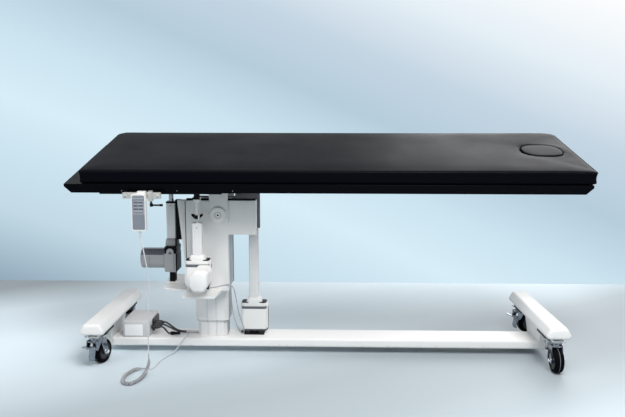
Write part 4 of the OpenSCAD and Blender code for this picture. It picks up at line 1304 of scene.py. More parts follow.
@dataclass
class Cords:
    """The handset's cord and the drive leads.

    Each crossing names the upper and the lower body of a hanging stretch, and the height in metres at
    which it ends.
    """

    bench: Bench
    cord: float = 4.5
    lead: float = 4.0
    curl: float = 16.0
    turns: int = 46
    turn_steps: int = 18
    lead_crossing: float = 0.335
    crossings: tuple[tuple[str, str, float], ...] = (
        ("handset", "tabletop", 0.538),
        ("tabletop", "gimbal", 0.410),
        ("gimbal", "carriage", 0.240),
        ("carriage", "base", -1.0),
    )

    def build(self) -> None:
        """Lays every cord."""
        self.hanging_part()
        self.curly_part()
        self.plain_end()
        self.drive_leads()

    def stretch(
        self,
        name: str,
        path: Sequence[Vector],
        diameter: float,
        skin: Skin,
        bodies: tuple[str, ...],
        node: str | None = None,
    ) -> Piece:
        """Makes and declares one stretch of cord.

        Args:
            name: The piece's name.
            path: Its middle line in the row frame.
            diameter: Its diameter in millimetres.
            skin: Its finish.
            bodies: One body that it rides on, or two that it runs between, in which case it stays in the row
                frame.
            node: The CAD node that it stands for.

        Returns:
            The new object.
        """
        made = self.bench.round_run(name, path, diameter / 2, skin)
        if len(bodies) == 2:
            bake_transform(made)
        else:
            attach(made, bodies[0])
        if node:
            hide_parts(node)
        log.info("cord %s, %.3f m", name, length_of(path))
        return made

    def hanging_part(self) -> None:
        """Hangs the cord from the handset in stretches, one for each joint that it crosses."""
        path = [spot(*p) for p in smooth_route(HANG_ROUTE, 6)]
        start = 0
        for index, (upper, lower, mark) in enumerate(self.crossings, 1):
            end = next((i for i, p in enumerate(path) if p.z < mark), len(path) - 1)
            self.stretch(
                f"hanging_cord_{index}", path[start : end + 1], self.cord, Skin.CORD, (upper, lower),
                node="handset_cord",
            )
            start = end

    def curly_part(self) -> None:
        """Winds the curly part along its route on the floor."""
        route = [spot(*p) for p in smooth_route(CURL_ROUTE, 8)]
        runs = [0.0]
        for a, b in zip(route, route[1:]):
            runs.append(runs[-1] + (b - a).length)
        total, straight, radius = runs[-1], 2 * self.cord * MM, (self.curl - self.cord) / 2 * MM
        side = Vector((1, 0, 0))
        frames = []
        for i, point in enumerate(route):
            ahead = (route[min(i + 1, len(route) - 1)] - route[max(i - 1, 0)]).normalized()
            side = (side - ahead * side.dot(ahead)).normalized()
            frames.append((point, side.copy(), ahead.cross(side)))

        def centre(s: float) -> Vector:
            """The curl's middle line at a distance along the route.

            Args:
                s: The distance in metres.

            Returns:
                The point.
            """
            i = next((k for k in range(len(runs) - 1) if runs[k + 1] >= s), len(runs) - 2)
            t = (s - runs[i]) / (runs[i + 1] - runs[i])
            point, across, up = (frames[i][k].lerp(frames[i + 1][k], t) for k in range(3))
            reach = radius * smooth_step((s - straight) / (2 * self.curl * MM))
            reach *= smooth_step((total - straight - s) / (2 * self.curl * MM))
            angle = 2 * math.pi * self.turns * (s - straight) / (total - 2 * straight)
            return point + reach * (math.cos(angle) * across.normalized() + math.sin(angle) * up.normalized())

        steps = self.turns * self.turn_steps
        inner = [straight + (total - 2 * straight) * k / steps for k in range(steps + 1)]
        third = straight / 3
        marks = [0.0, third, 2 * third, *inner, total - 2 * third, total - third, total]
        path = [centre(s) for s in marks]
        # Painted shade: the curly part takes a darker copy of the cord's colour.
        self.stretch(
            "curly_cord", path, self.cord, Skin.CURL_PAINTED_SHADE, ("base",), node="handset_curl"
        )

    def plain_end(self) -> None:
        """Lays the plain end along the floor to its connector on the beam."""
        path = [spot(*p) for p in smooth_route(LEAD_ROUTE, 5)]
        body = turned(
            ((0, 0), (4.2, 0), (5.2, 1.5), (6.4, 12), (6.4, 24), (6.0, 26), (8.4, 26.2), (8.4, 30), (7.6, 31),
             (7.6, 33), (8.4, 34), (8.4, 42), (7.4, 44), (0, 44)),
            Vector((-1, 0, 0)), path[-1], 32,
        )
        plug = self.bench.piece("cord_connector_body", body, Skin.BLACK_PLASTIC, "base", "black_plastic")
        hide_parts("cord_connector")
        self.stretch(
            "plain_cord", path, self.cord, Skin.CORD, ("base",),
            node="handset_lead",
        )

    def drive_leads(self) -> None:
        """Hangs the two thin leads of the side tilt drive."""
        for index, route in enumerate(DRIVE_LEADS, 1):
            path = [spot(*p) for p in smooth_route(route, 5)]
            middle = next(i for i, p in enumerate(path) if p.z < self.lead_crossing)
            for part, run, bodies in (
                ("upper", path[: middle + 1], ("tilt_drive", "carriage")),
                ("lower", path[middle:], ("carriage", "base")),
            ):
                name = f"drive_lead_{index}_{part}"
                self.stretch(name, run, self.lead, Skin.LEAD, bodies, node="motor_leads")


# Upholstery


@dataclass
class Upholstery:
    """The pad and its lift-out face plug, filled by a cloth simulation."""

    bench: Bench
    voxel: float = 11.0
    plug_voxel: float = 6.0
    pressure: float = 2.5
    swell: float = 3.0
    plug_swell: float = 1.6
    held_depth: float = 4.0
    fill_frames: int = 20
    evening: int = 12
    seam_z: float = 54.4
    seam_ends: tuple[float, float] = (-490.0, 1598.0)
    seam_half: float = 304.2
    rear_corner: float = 49.0
    front_corner: float = 11.0
    welt_radius: float = 1.7

    def build(self) -> None:
        """Makes the pad, the plug and the pad's welt."""
        pad = self.filled("pad", "pad_cover", self.voxel, self.swell, "tabletop")
        self.filled("face_plug", "face_plug_cover", self.plug_voxel, self.plug_swell, "plug")
        self.welt(pad)

    def level_copy(self, node: str) -> Form:
        """A merged copy of a CAD node, turned back level.

        Args:
            node: The node's name.

        Returns:
            The form in the level frame.
        """
        form = bmesh.new()
        form.from_mesh(frame["nodes"][node].data)
        bmesh.ops.remove_doubles(form, verts=form.verts, dist=2e-6)
        bmesh.ops.transform(form, matrix=TILT_FRAME.inverted(), verts=form.verts)
        return form

    def filled(self, node: str, name: str, voxel: float, swell: float, body: str) -> Piece:
        """Makes one padded piece.

        Args:
            node: The CAD node that it stands for.
            name: The piece's name.
            voxel: The size of the remesh in millimetres.
            swell: How far a point may move in millimetres.
            body: The body that carries it.

        Returns:
            The new object.
        """
        made = self.bench.loose(name, self.level_copy(node), Skin.VINYL)
        self.remesh(made, voxel)
        self.inflate(made, swell)
        divide = made.modifiers.new("smooth", "SUBSURF")
        divide.levels = divide.render_levels = 1
        self.apply(made)
        made.data.transform(TILT_FRAME)
        made.data.shade_smooth()
        made.data.materials.clear()
        made.data.materials.append(self.bench.paints[Skin.VINYL])
        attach(made, body)
        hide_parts(node)
        log.info("padded piece %s, %d faces", name, len(made.data.polygons))
        return made

    def apply(self, made: Piece) -> None:
        """Applies all of a piece's modifiers.

        Args:
            made: The piece.
        """
        bpy.context.view_layer.update()
        done = made.evaluated_get(bpy.context.evaluated_depsgraph_get())
        mesh = bpy.data.meshes.new_from_object(done)
        made.modifiers.clear()
        made.data = mesh

    def remesh(self, made: Piece, voxel: float) -> None:
        """Covers a piece with even quads.

        Args:
            made: The piece.
            voxel: The size of a quad in millimetres.
        """
        grid = made.modifiers.new("even", "REMESH")
        grid.mode = "VOXEL"
        grid.voxel_size = voxel * MM
        grid.use_smooth_shade = True
        self.apply(made)

    def inflate(self, made: Piece, swell: float) -> None:
        """Fills a piece under pressure, holding its base.

        Args:
            made: The piece, in the level frame.
            swell: How far a point may move in millimetres.
        """
        rest = [v.co.copy() for v in made.data.vertices]
        low = min(v.z for v in rest)
        held = made.vertex_groups.new(name="held")
        base = [i for i, v in enumerate(rest) if v.z < low + self.held_depth * MM]
        held.add(base, 1.0, "REPLACE")
        cloth = made.modifiers.new("fill", "CLOTH")
        cloth.settings.quality = 5
        cloth.settings.mass = 0.4
        cloth.settings.tension_stiffness = 18
        cloth.settings.compression_stiffness = 18
        cloth.settings.bending_stiffness = 4
        cloth.settings.use_pressure = True
        cloth.settings.uniform_pressure_force = self.pressure
        cloth.settings.vertex_group_mass = "held"
        cloth.settings.effector_weights.gravity = 0
        cloth.collision_settings.use_collision = False
        cloth.point_cache.frame_start = 1
        cloth.point_cache.frame_end = self.fill_frames
        scene = bpy.context.scene
        for step in range(1, self.fill_frames + 1):
            scene.frame_set(step)
        done = made.evaluated_get(bpy.context.evaluated_depsgraph_get())
        puffed = [v.co.copy() for v in done.data.vertices]
        made.modifiers.remove(cloth)
        scene.frame_set(1)
        moves = [after - before for before, after in zip(rest, puffed)]
        moves = [m.normalized() * min(m.length, swell * MM) for m in moves]
        near: list[list[int]] = [[index] for index in range(len(rest))]
        for edge in made.data.edges:
            a, b = edge.vertices
            near[a].append(b)
            near[b].append(a)
        for _ in range(self.evening):
            moves = [sum((moves[k] for k in around), Vector()) / len(around) for around in near]
        for vert, before, move in zip(made.data.vertices, rest, moves):
            vert.co = before + move

    def welt(self, pad: Piece) -> None:
        """Sews a thin welt round the top edge of the pad.

        Args:
            pad: The finished pad.
        """
        (low, high), half = self.seam_ends, self.seam_half
        rear, front = self.rear_corner, self.front_corner
        ring = []
        for centre, radius, start in (
            ((high - rear, half - rear), rear, 0),
            ((low + rear, half - rear), rear, 90),
            ((low + front, -half + front), front, 180),
            ((high - front, -half + front), front, 270),
        ):
            ring += [Vector(point) for point in arc(centre, radius, start, start + 90, 12)]
        line = []
        for a, b in zip(ring, [*ring[1:], ring[0]]):
            steps = max(1, int((b - a).length / 40))
            line += [a.lerp(b, k / steps) for k in range(steps)]
        path = []
        for x, y in [*line, ring[0]]:
            edge = on_top(x, y, TOP_Z / MM + self.seam_z)
            _, seat, _, _ = pad.closest_point_on_mesh(edge)
            path.append(seat.lerp(edge, 0.15))
        made = self.bench.round_run("pad_welt", path, self.welt_radius, Skin.WELT, 8)
        self.bench.fastened(made, "tabletop", "vinyl")


# Sub-assemblies


@dataclass
class Tabletop:
    """The carbon top, its steel frame, the rail and the clamp."""

    bench: Bench
    edge_screws: tuple[float, ...] = (-315, -90, 137)
    half_width: float = 305.0
    rail_face: float = 336.0
    rail_end: float = 11.0

    def build(self) -> None:
        """Dresses the top and what hangs from it."""
        self.bench.eased("tabletop_core", Skin.CARBON, "carbon", 1.5)
        self.bench.eased("sub_frame", Skin.BLACK, "black_paint", 0.8)
        self.bench.eased("accessory_rail", Skin.RAIL, "rail_metal", 1.0)
        self.bench.eased("rail_clamp", Skin.RAIL, "rail_metal", 0.8)
        self.bench.eased("clamp_lever", Skin.BLACK_PLASTIC, "black_plastic", 0.6, clamp=True)
        self.screws()

    def screws(self) -> None:
        """Fixes the top with sunk screws in both long edges and the rail with one at each standoff."""
        tilt = TILT_FRAME.to_3x3()
        middle = (TOP_UNDER_Z + TOP_Z) / 2 / MM - 9
        edge = [
            cap_screw(on_top(x, side * self.half_width, middle), tilt @ Vector((0, side, 0)), 2.2, 0.5)
            for x in self.edge_screws
            for side in (-1, 1)
        ]
        self.bench.piece("edge_screws", joined(edge), Skin.ZINC, "tabletop", "zinc")
        low, high = box_of("accessory_rail")
        under = TOP_UNDER_Z / MM
        rail = [
            cap_screw(on_top(x, -self.rail_face, under - 1), tilt @ Vector((0, -1, 0)), 6.0, 3.2)
            for x in (low.x + self.rail_end, high.x - self.rail_end)
        ]
        self.bench.piece("rail_screws", joined(rail), Skin.RAIL, "tabletop", "rail_metal")
        form = slab((-410, -300, under - 7), (90, -286, under + 1), 2, 0.8, 0)
        bmesh.ops.transform(form, matrix=TILT_FRAME, verts=form.verts)
        self.bench.piece("under_rail", form, Skin.BLACK, "tabletop", "black_paint")


@dataclass
class Mechanism:
    """The column, the carriage, the gimbal and their plates."""

    bench: Bench
    trunnion: tuple[float, float] = (46, 637)
    shade_foot: float = 440.0
    wiper_step: float = 3.4
    sliding: tuple[tuple[str, str], ...] = (("column_middle", "middle_stage"), ("column_upper", "carriage"))

    def build(self) -> None:
        """Dresses every piece between the base and the top."""
        for node in ("column_lower", "column_middle", "column_upper"):
            stage = self.bench.eased(node, Skin.COLUMN, "column_paint", 0.9)
            # Painted shade: the stages' left and right faces are given a dark grey.
            self.bench.repaint(stage, Skin.COLUMN_SIDE_PAINTED_SHADE, lambda c, n: abs(n.x) > 0.95)
        rear = self.bench.eased("rear_plate", Skin.POWDER, "powder_coat", 1.2)
        # Painted shade: the rear plate's faces towards the front plate turn dark grey, for the shade between
        # the plates.
        self.bench.repaint(rear, Skin.INNER_PAINTED_SHADE, lambda c, n: n.y < -0.95)
        for node in ("front_plate", "spacer_frame", "drive_shelves", "gimbal_frame"):
            self.bench.eased(node, Skin.POWDER, "powder_coat", 1.2)
        feet = self.bench.eased("drive_feet", Skin.POWDER, "powder_coat", 0.6)
        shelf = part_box("drive_feet")[0].z + 0.0075
        self.bench.repaint(feet, Skin.BLACK, lambda c, n: c.x < COLUMN.x - 0.13 and c.z > shelf)
        self.bench.eased("lift_foot_bracket", Skin.BLACK, "black_paint", 0.6)
        self.bench.paint_node(Skin.ROD, "lift_rod", "tilt_cross", "gimbal_shafts")
        self.shade_strips()
        self.pivot_caps()
        self.plate_screws()
        self.stage_screws()
        self.wipers()

    def shade_strips(self) -> None:
        """Presses a dark strip onto the front plate's left edge, and a black strip and a dark grey bar behind
        its top: all painted shade for the dark gaps at the plates' edges.
        """
        low, high = box_of("front_plate")
        left, right, near, far, top = low.x, high.x, low.y, high.y, high.z
        back, foot = box_of("rear_plate")[0].y, self.shade_foot
        edge_shade = slab((left - 3.2, near + 0.4, foot), (left + 0.2, far + 1.5, top - 3), 0.8, 0.4, 0.4)
        top_shade = slab((left + 2, far + 1, top - 6), (right - 2, far + 6, top + 9), 0.6, 0.3, 0.6)
        back_shade = slab((right - 114, back - 1, top - 6), (right, back + 5, top + 15), 0.6, 0.3, 0.6)
        # Painted shade: all three pieces are dark where the plates' gaps lie in shade.
        for name, form, skin in (
            ("front_plate_shade_strip", edge_shade, Skin.BLACK_PLASTIC),
            ("plate_shade_strip", top_shade, Skin.BLACK_PLASTIC),
            ("rear_shade_bar", back_shade, Skin.INNER_PAINTED_SHADE),
        ):
            self.bench.piece(name, moved(form, COLUMN), skin, "carriage", "powder_coat")

    def pivot_caps(self) -> None:
        """Caps the end tilt trunnions, front and rear."""
        cap = ((0, 0.6), (3.4, 0.6), (3.4, 2.2), (11.5, 2.4), (12.5, 1.4), (14.5, 1.4), (15.5, 2.6),
               (31, 2.6), (33.5, 1.8), (34.6, 0), (0, 0))
        screw = ((0, 0.3), (4.2, 0.3), (4.2, 2.5), (2.6, 2.5), (2.6, 0.9), (0, 0.9))
        parts = (
            ("cap", cap, 64, Skin.POWDER),
            ("screw", screw, 24, Skin.BLACK_PLASTIC),
            ("ring", band(11.4, 14.6, 1.0, 1.9), 48, Skin.DRIVE_GREY),
        )
        low, high = box_of("gimbal_frame")
        x, z = self.trunnion
        for end, side, y in (("front", -1, low.y), ("rear", 1, high.y)):
            for part, section, steps, skin in parts:
                form = turned(section, Vector((0, side, 0)), spot(x, y, z), steps)
                self.bench.piece(f"pivot_{part}_{end}", form, skin, "gimbal", "powder_coat")

    def plate_screws(self) -> None:
        """Screws both plates to the frame and the column between them."""
        places = (
            (-88, 686), (-88, 560), (-88, 430), (-88, 306), (74, 306), (74, 430), (11, 552), (37, 552),
            (58, 552), (150, 686), (198, 686), (198, 560),
        )
        front, rear = box_of("front_plate")[0].y, box_of("rear_plate")[1].y
        for name, side, y in (("front", -1, front), ("rear", 1, rear)):
            screws = joined(cap_screw(spot(x, y, z), Vector((0, side, 0)), 3.6, 1.6) for x, z in places)
            self.bench.piece(f"plate_screws_{name}", screws, Skin.POWDER, "carriage", "powder_coat")

    def stage_screws(self) -> None:
        """Holds the glide strips with small screws low on each sliding stage."""
        for node, body in self.sliding:
            low, high = box_of(node)
            seats = [(x, y, 0, side) for side, y in ((-1, low.y), (1, high.y)) for x in (-34, 0, 34)]
            seats += [(x, y, side, 0) for side, x in ((-1, low.x), (1, high.x)) for y in (-26, 26)]
            screws = joined(
                cap_screw(spot(x, y, low.z + 16), Vector((along, out, 0)), 2.6, 1.0)
                for x, y, along, out in seats
            )
            self.bench.piece(f"{node}_screws", screws, Skin.COLUMN, body, "column_paint")

    def wipers(self) -> None:
        """Rings the foot of each sliding stage with a thin dark wiper."""
        step = self.wiper_step
        for node, body in self.sliding:
            low, high = box_of(node)
            corners = (low.x + step, low.y + step, low.z - 0.9), (high.x - step, high.y - step, low.z + 1.0)
            wiper = moved(slab(*corners, 11, 0.3, 0.0), COLUMN)
            self.bench.piece(f"{node}_wiper", wiper, Skin.BLACK_PLASTIC, body, "column_paint")


@dataclass
class DriveShell:
    """The shell of one linear drive, which hides its housing's node.

    The band, shoulder and head levels are depths below the housing's full height. The black shoulder under
    the collar is painted shade for the gap there.
    """

    bench: Bench
    name: str
    node: str
    foot: Point
    turn: float
    skin: Skin
    slot: str
    head: Skin
    band: Skin
    width: float = 106.0
    depth: float = 58.0
    height: float = 122.0
    corner: float = 16.0
    tube: float = 42.0
    bore: float = 17.0
    pocket: float = 60.0
    band_levels: tuple[float, float] = (36.5, 23.5)
    shade_line_levels: tuple[float, float] = (8.5, 4.5)
    head_levels: tuple[float, float] = (24.0, 8.0)
    collar: tuple[float, float] = (-12.0, 15.0)
    motor_up: float = 58.0
    motor_side: float = 0.0
    motor_reach: float = 115.0
    motor_tail: float = 10.0
    upper_chamfers: tuple[tuple[float, float], tuple[float, float]] = ((22.0, 28.0), (22.0, 28.0))
    pinned: bool = True
    painted_shade_side: bool = False

    def build(self) -> None:
        """Makes the housing, band, collar, motor and lug."""
        self.piece("shell", self.shell(), self.skin)
        self.piece("band", self.level(self.band_levels, 1.5), self.band)
        # Painted shade: a black shoulder for the shadowed gap under the collar.
        self.piece("shoulder", self.level(self.shade_line_levels, 2.2), Skin.BLACK_PLASTIC)
        self.piece("head", self.level(self.head_levels, 0, 1.6), self.head)
        self.piece("collar", bored(self.collar_form(), self.bore), self.skin)
        self.piece("motor", self.motor(), self.skin)
        self.piece("motor_seam", self.motor_seam(), Skin.BAND)
        self.piece("motor_screws", self.motor_screws(), self.skin)
        self.piece("bosses", self.bosses(), self.skin)
        self.piece("boss_screws", self.boss_screws(), Skin.BAND)
        if not self.pinned:
            self.piece("underside", self.ring(0, 9, 9), Skin.BAND)
        if not self.painted_shade_side:
            self.side_lead()

    def place(self) -> Matrix:
        """The drive's own frame."""
        return Matrix.Translation(spot(*self.foot)) @ Matrix.Rotation(math.radians(self.turn), 4, "Z")

    def piece(self, part: str, form: Form, skin: Skin) -> None:
        """Places a part of the drive and hides the node.

        Args:
            part: The part's own name.
            form: Its shape in the drive's own frame.
            skin: Its finish.
        """
        bmesh.ops.transform(form, matrix=self.place(), verts=form.verts)
        made = self.bench.piece(f"{self.name}_{part}", form, skin, body_of_node(self.node), self.slot)
        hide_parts(self.node)
        if self.painted_shade_side:
            # Painted shade: on the end drive, the motor's upward faces turn dark grey and every face towards
            # the right turns black.
            self.bench.repaint(made, Skin.BAND, lambda c, n: part == "motor" and n.z > 0.4)
            self.bench.repaint(made, Skin.BLACK, lambda c, n: n.x > 0.5)

    def side_lead(self) -> None:
        """Clips the motor's lead to the housing's narrow side."""
        out, top = self.width / 2, self.height
        if self.pinned:
            marks = (
                (-out + 3, 0, top - 32), (-out - 1.5, 0, top - 34), (-out - 3, 4, top - 42),
                (-out - 3.5, 20, 60), (-out - 4, 48, 34), (-out - 3, 68, 15), (-out + 2, 75, 10),
            )
        else:
            marks = (
                (out - 3, 0, top - 30), (out + 1.5, 0, top - 32), (out + 3, 0, top - 40),
                (out + 3, 0, 60), (out + 3, 0, 20), (out + 1, 0, 4), (out - 8, 0, -4), (out - 20, 0, -6),
            )
        path = [self.place() @ (p * MM) for p in smooth_route(marks)]
        made = self.bench.round_run(f"{self.name}_lead", path, 2.4, Skin.CABLE, 10)
        self.bench.fastened(made, body_of_node(self.node), self.slot)
        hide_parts(self.node)

    def ring(self, low: float, high: float, inset: float, ease: float = 0.4) -> Form:
        """A level of the housing between two heights, drawn in from its outline."""
        x, y = self.width / 2 - inset, self.depth / 2 - inset
        return slab((-x, -y, low), (x, y, high), self.corner - inset, ease, ease)

    def shell(self) -> Form:
        """The lower housing with its lug or foot.

        Returns:
            The form, in the drive's own frame.
        """
        x, y = self.width / 2, self.depth / 2
        low = 0 if self.pinned else 8
        body = slab((-x, -y, low), (x, y, self.height - 36), self.corner, 5.0, 1.2)
        bored(body, self.bore, self.height - self.pocket)
        if not self.pinned:
            return joined((body, slab((-12, -11, -17), (12, 11, 9), 2, 0.8, 0)))
        outline = [*arc((0, -12), 12, 180, 360, 12), (12, 3), (-12, 3)]
        lug = prism(outline, 22, facing_front(Vector((0, 0.011, 0))), 0.8)
        return joined((body, lug))

    def level(self, depths: tuple[float, float], inset: float, ease: float = 0.4) -> Form:
        """A bored level of the housing, from the depths of its two faces below the top."""
        low, high = (self.height - depth for depth in depths)
        return bored(self.ring(low, high, inset, ease), self.bore)

    def collar_form(self) -> Form:
        """The collar round the outer tube, with a sloping shoulder.

        Returns:
            The form, in the drive's own frame.
        """
        x, y = self.tube / 2 + 15, self.depth / 2 - 2
        low, high = (self.height + level for level in self.collar)
        form = slab((-x, -y, low + 3), (x, y, low + 9), 13, 0, 0)
        stepped(form, end_face(form, (0, 0, -1)), ((0.8, 1.6), (1.6, 1.4)))
        span = high - low - 9
        shares = ((0.5, 0.22), (1.0, 0.34), (1.5, 0.24), (1.2, 0.13), (1.0, 0.07))
        stepped(form, end_face(form, (0, 0, 1)), [(inset, share * span) for inset, share in shares])
        for vert in form.verts:
            rise = vert.co.z / MM - low - 9
            if rise > 0:
                vert.co.x *= 1 - 0.14 * rise / span
        return form

    def motor_outline(self, grow: float = 0.0) -> list[tuple[float, float]]:
        """The motor's section, with sloping upper and drawn-in lower corners.

        Args:
            grow: How far every side moves out in millimetres.

        Returns:
            The points, across and up from the motor's centre.
        """
        half, tall = 39 + grow, 45 + grow
        (left_in, left_down), (right_in, right_down) = self.upper_chamfers
        return [
            (-half + 15, -tall), (half - 15, -tall), (half, -tall + 26), (half, tall - right_down),
            (half - right_in, tall), (-half + left_in, tall), (-half, tall - left_down), (-half, -tall + 26),
        ]

    def motor_place(self, reach: float) -> Matrix:
        """The frame of a section of the motor at a distance from the housing."""
        return facing_front(Vector((self.motor_side, self.depth / 2 + reach, self.motor_up)) * MM)

    def motor(self) -> Form:
        """The motor with its flange and its drawn-in end cap.

        Returns:
            The form, in the drive's own frame.
        """
        reach = self.motor_reach - self.motor_tail
        form = prism(self.motor_outline(), reach, self.motor_place(reach), edge=6)
        stepped(form, end_face(form, (0, 1, 0)), ((1.0, 3.0), (2.5, 3.6), (5.0, 3.0)))
        flange = prism(self.motor_outline(1.6), 6, self.motor_place(7), 1.0, 6)
        return joined((form, flange))

    def motor_seam(self) -> Form:
        """The joint between the motor's barrel and its end cap."""
        return prism(self.motor_outline(0.25), 1.4, self.motor_place(self.motor_reach * 0.62), edge=6)

    def motor_screws(self) -> Form:
        """Four screws in the motor's end.

        Returns:
            The form, in the drive's own frame.
        """
        y = self.depth / 2 + self.motor_reach - 0.6
        return joined(
            cap_screw(Vector((self.motor_side + x, y, self.motor_up + z)) * MM, Vector((0, 1, 0)), 3.0, 1.4)
            for x, z in ((-13, -30), (13, -30), (-11, 28), (11, 28))
        )

    def bosses(self) -> Form:
        """The arched bosses on the two narrow sides, where the drive's frame is pinned.

        Returns:
            The form, in the drive's own frame.
        """
        top = self.height - 28
        outline = [(17, 12), *arc((0, top), 17, 0, 180, 12), (-17, 12)]
        forms = []
        for side in (-1, 1):
            place = Matrix.Rotation(math.radians(90 * side), 4, "Z") @ facing_front(
                Vector((0, -(self.width / 2 - 3) * MM, 0))
            )
            forms.append(prism(outline, 6.4, place, 1.0))
        return joined(forms)

    def boss_screws(self) -> Form:
        """A large round screw in each boss.

        Returns:
            The form, in the drive's own frame.
        """
        out = self.width / 2 + 3.3
        return joined(
            cap_screw(Vector((side * out, 0, self.height - 32)) * MM, Vector((side, 0, 0)), 7.0, 1.6)
            for side in (-1, 1)
        )


@dataclass
class Drives:
    """The three linear drives and their rods.

    The fork and flange drops hang from the side rod's joint, and the wings stand at a height of their own.
    """

    bench: Bench
    rim_half: float = 21.8
    stop_drop: float = 18.0
    fork_drop: float = 27.5
    flange_drop: float = 36.0
    wings_z: float = 627.5
    wings_height: float = 23.5
    crown_drop: float = 41.5

    def build(self) -> None:
        """Dresses the drives."""
        tilt_y = (middle_of("tilt_cross").y - COLUMN.y) / MM
        # The end drive's shell takes the grey copy of the drive paint: painted shade for the top's shadow.
        DriveShell(
            self.bench, "end_drive", "trend_motor_housing", (-197, 50, 352), 90, Skin.DRIVE_GREY,
            "drive_grey", Skin.BLACK_PLASTIC, Skin.BLACK_PLASTIC, corner=9, collar=(-4.0, 30.0),
            painted_shade_side=True,
        ).build()
        DriveShell(
            self.bench, "side_drive", "tilt_motor_housing", (-35, tilt_y, 336), 180, Skin.DRIVE,
            "drive_shell", Skin.DRIVE, Skin.BAND, motor_up=50, motor_side=-24,
            upper_chamfers=((12.0, 12.0), (24.0, 30.0)),
        ).build()
        DriveShell(
            self.bench, "lift_drive", "lift_motor_housing", (187, 0, 85), 0, Skin.DRIVE,
            "drive_shell", Skin.DRIVE, Skin.BAND, width=118, height=140, pinned=False,
        ).build()
        self.lead_socket(tilt_y)
        for node, skin in (
            # The end drive's tube takes the lighter copy: painted light against the top's shadow.
            ("trend_outer_tube", Skin.TUBE_PAINTED_LIGHT),
            ("tilt_outer_tube", Skin.TUBE),
            ("lift_outer_tube", Skin.TUBE),
        ):
            self.bench.eased(node, skin, "tube_steel", 0.8)
            self.tube_dress(node, skin)
        self.tilt_link()
        self.end_rod()

    def lead_socket(self, drive_y: float) -> None:
        """Makes the socket that the side drive's leads come out of.

        Args:
            drive_y: The drive's place in front of the column in millimetres.
        """
        socket = turned(
            ((0, 0), (7, 0), (7, 40), (8.2, 41), (8.2, 47), (7, 48), (7, 56), (6, 58), (0, 58)),
            Vector((1, 0, 0)), spot(-35, drive_y - 75, 346), 28,
        )
        made = self.bench.piece("side_drive_socket", socket, Skin.BLACK_PLASTIC, "tilt_drive", "drive_shell")
        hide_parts("tilt_motor_housing")

    def tube_dress(self, node: str, skin: Skin) -> None:
        """Puts a rim and the small stop screw near the top of an outer tube, and beside the end drive's tube
        a black strip that is painted shade for its shaded side.

        Args:
            node: The tube's node.
            skin: The tube's finish.
        """
        low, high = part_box(node)
        body = body_of_node(node)
        mouth = Vector((*middle_of(node).xy, high.z))
        seat = Vector((mouth.x, low.y, high.z - self.stop_drop * MM))
        screw = cap_screw(seat, Vector((0, -1, 0)), 3.0, 1.2)
        self.bench.piece(f"{node}_screw", screw, Skin.DRIVE_GREY, body, "tube_steel")
        half, dark = self.rim_half, node == "trend_outer_tube"
        rim = moved(slab((-half, -half, -7), (half, half, 0.6), 5.4, 0.5, 1.2), mouth)
        self.bench.piece(f"{node}_rim", rim, Skin.BLACK_PLASTIC if dark else skin, body, "tube_steel")
        if dark:
            # Painted shade: a black strip beside the end drive's tube for the tube's shaded side.
            tube_shade = moved(slab((20, -14, -176), (46, 14, 9), 3, 0.8, 2.5), mouth)
            self.bench.piece("end_drive_tube_shade", tube_shade, Skin.BLACK, body, "black_paint")

    def tilt_link(self) -> None:
        """Paints the side drive's rod: black fork and wings, white link, bare rod below."""
        made = self.bench.eased("tilt_rod", Skin.ROD, "rod_steel", 0.5, clamp=True)
        axis = middle_of("tilt_cross")
        fork, flange = axis.z - self.fork_drop * MM, axis.z - self.flange_drop * MM
        wings, link = self.wings_z * MM, (self.wings_z + self.wings_height) * MM
        self.bench.repaint(made, Skin.BLACK, lambda c, n: c.z > fork or wings < c.z < link)
        self.bench.repaint(made, Skin.DRIVE, lambda c, n: flange < c.z < fork or link < c.z < flange)
        collar = moved(slab((-15, -12, -10), (15, 12, -1), 3, 2.5, 0.8), Vector((axis.x, axis.y, flange)))
        bolt = turned(
            ((0, 0), (3.4, 0), (3.4, 20), (2.6, 21), (0, 21)),
            Vector((0, 0, 1)), Vector((axis.x + 0.009, axis.y - 0.013, wings)), 20,
        )
        self.bench.piece("tilt_rod_flange", joined((collar, bolt)), Skin.DRIVE, "tilt_push", "drive_shell")

    def end_rod(self) -> None:
        """Paints the end drive's rod: bare below, black fork above."""
        made = self.bench.eased("trend_rod", Skin.ROD, "rod_steel", 0.6, clamp=True)
        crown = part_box("trend_rod")[1].z - self.crown_drop * MM
        self.bench.repaint(made, Skin.BLACK, lambda c, n: c.z > crown)


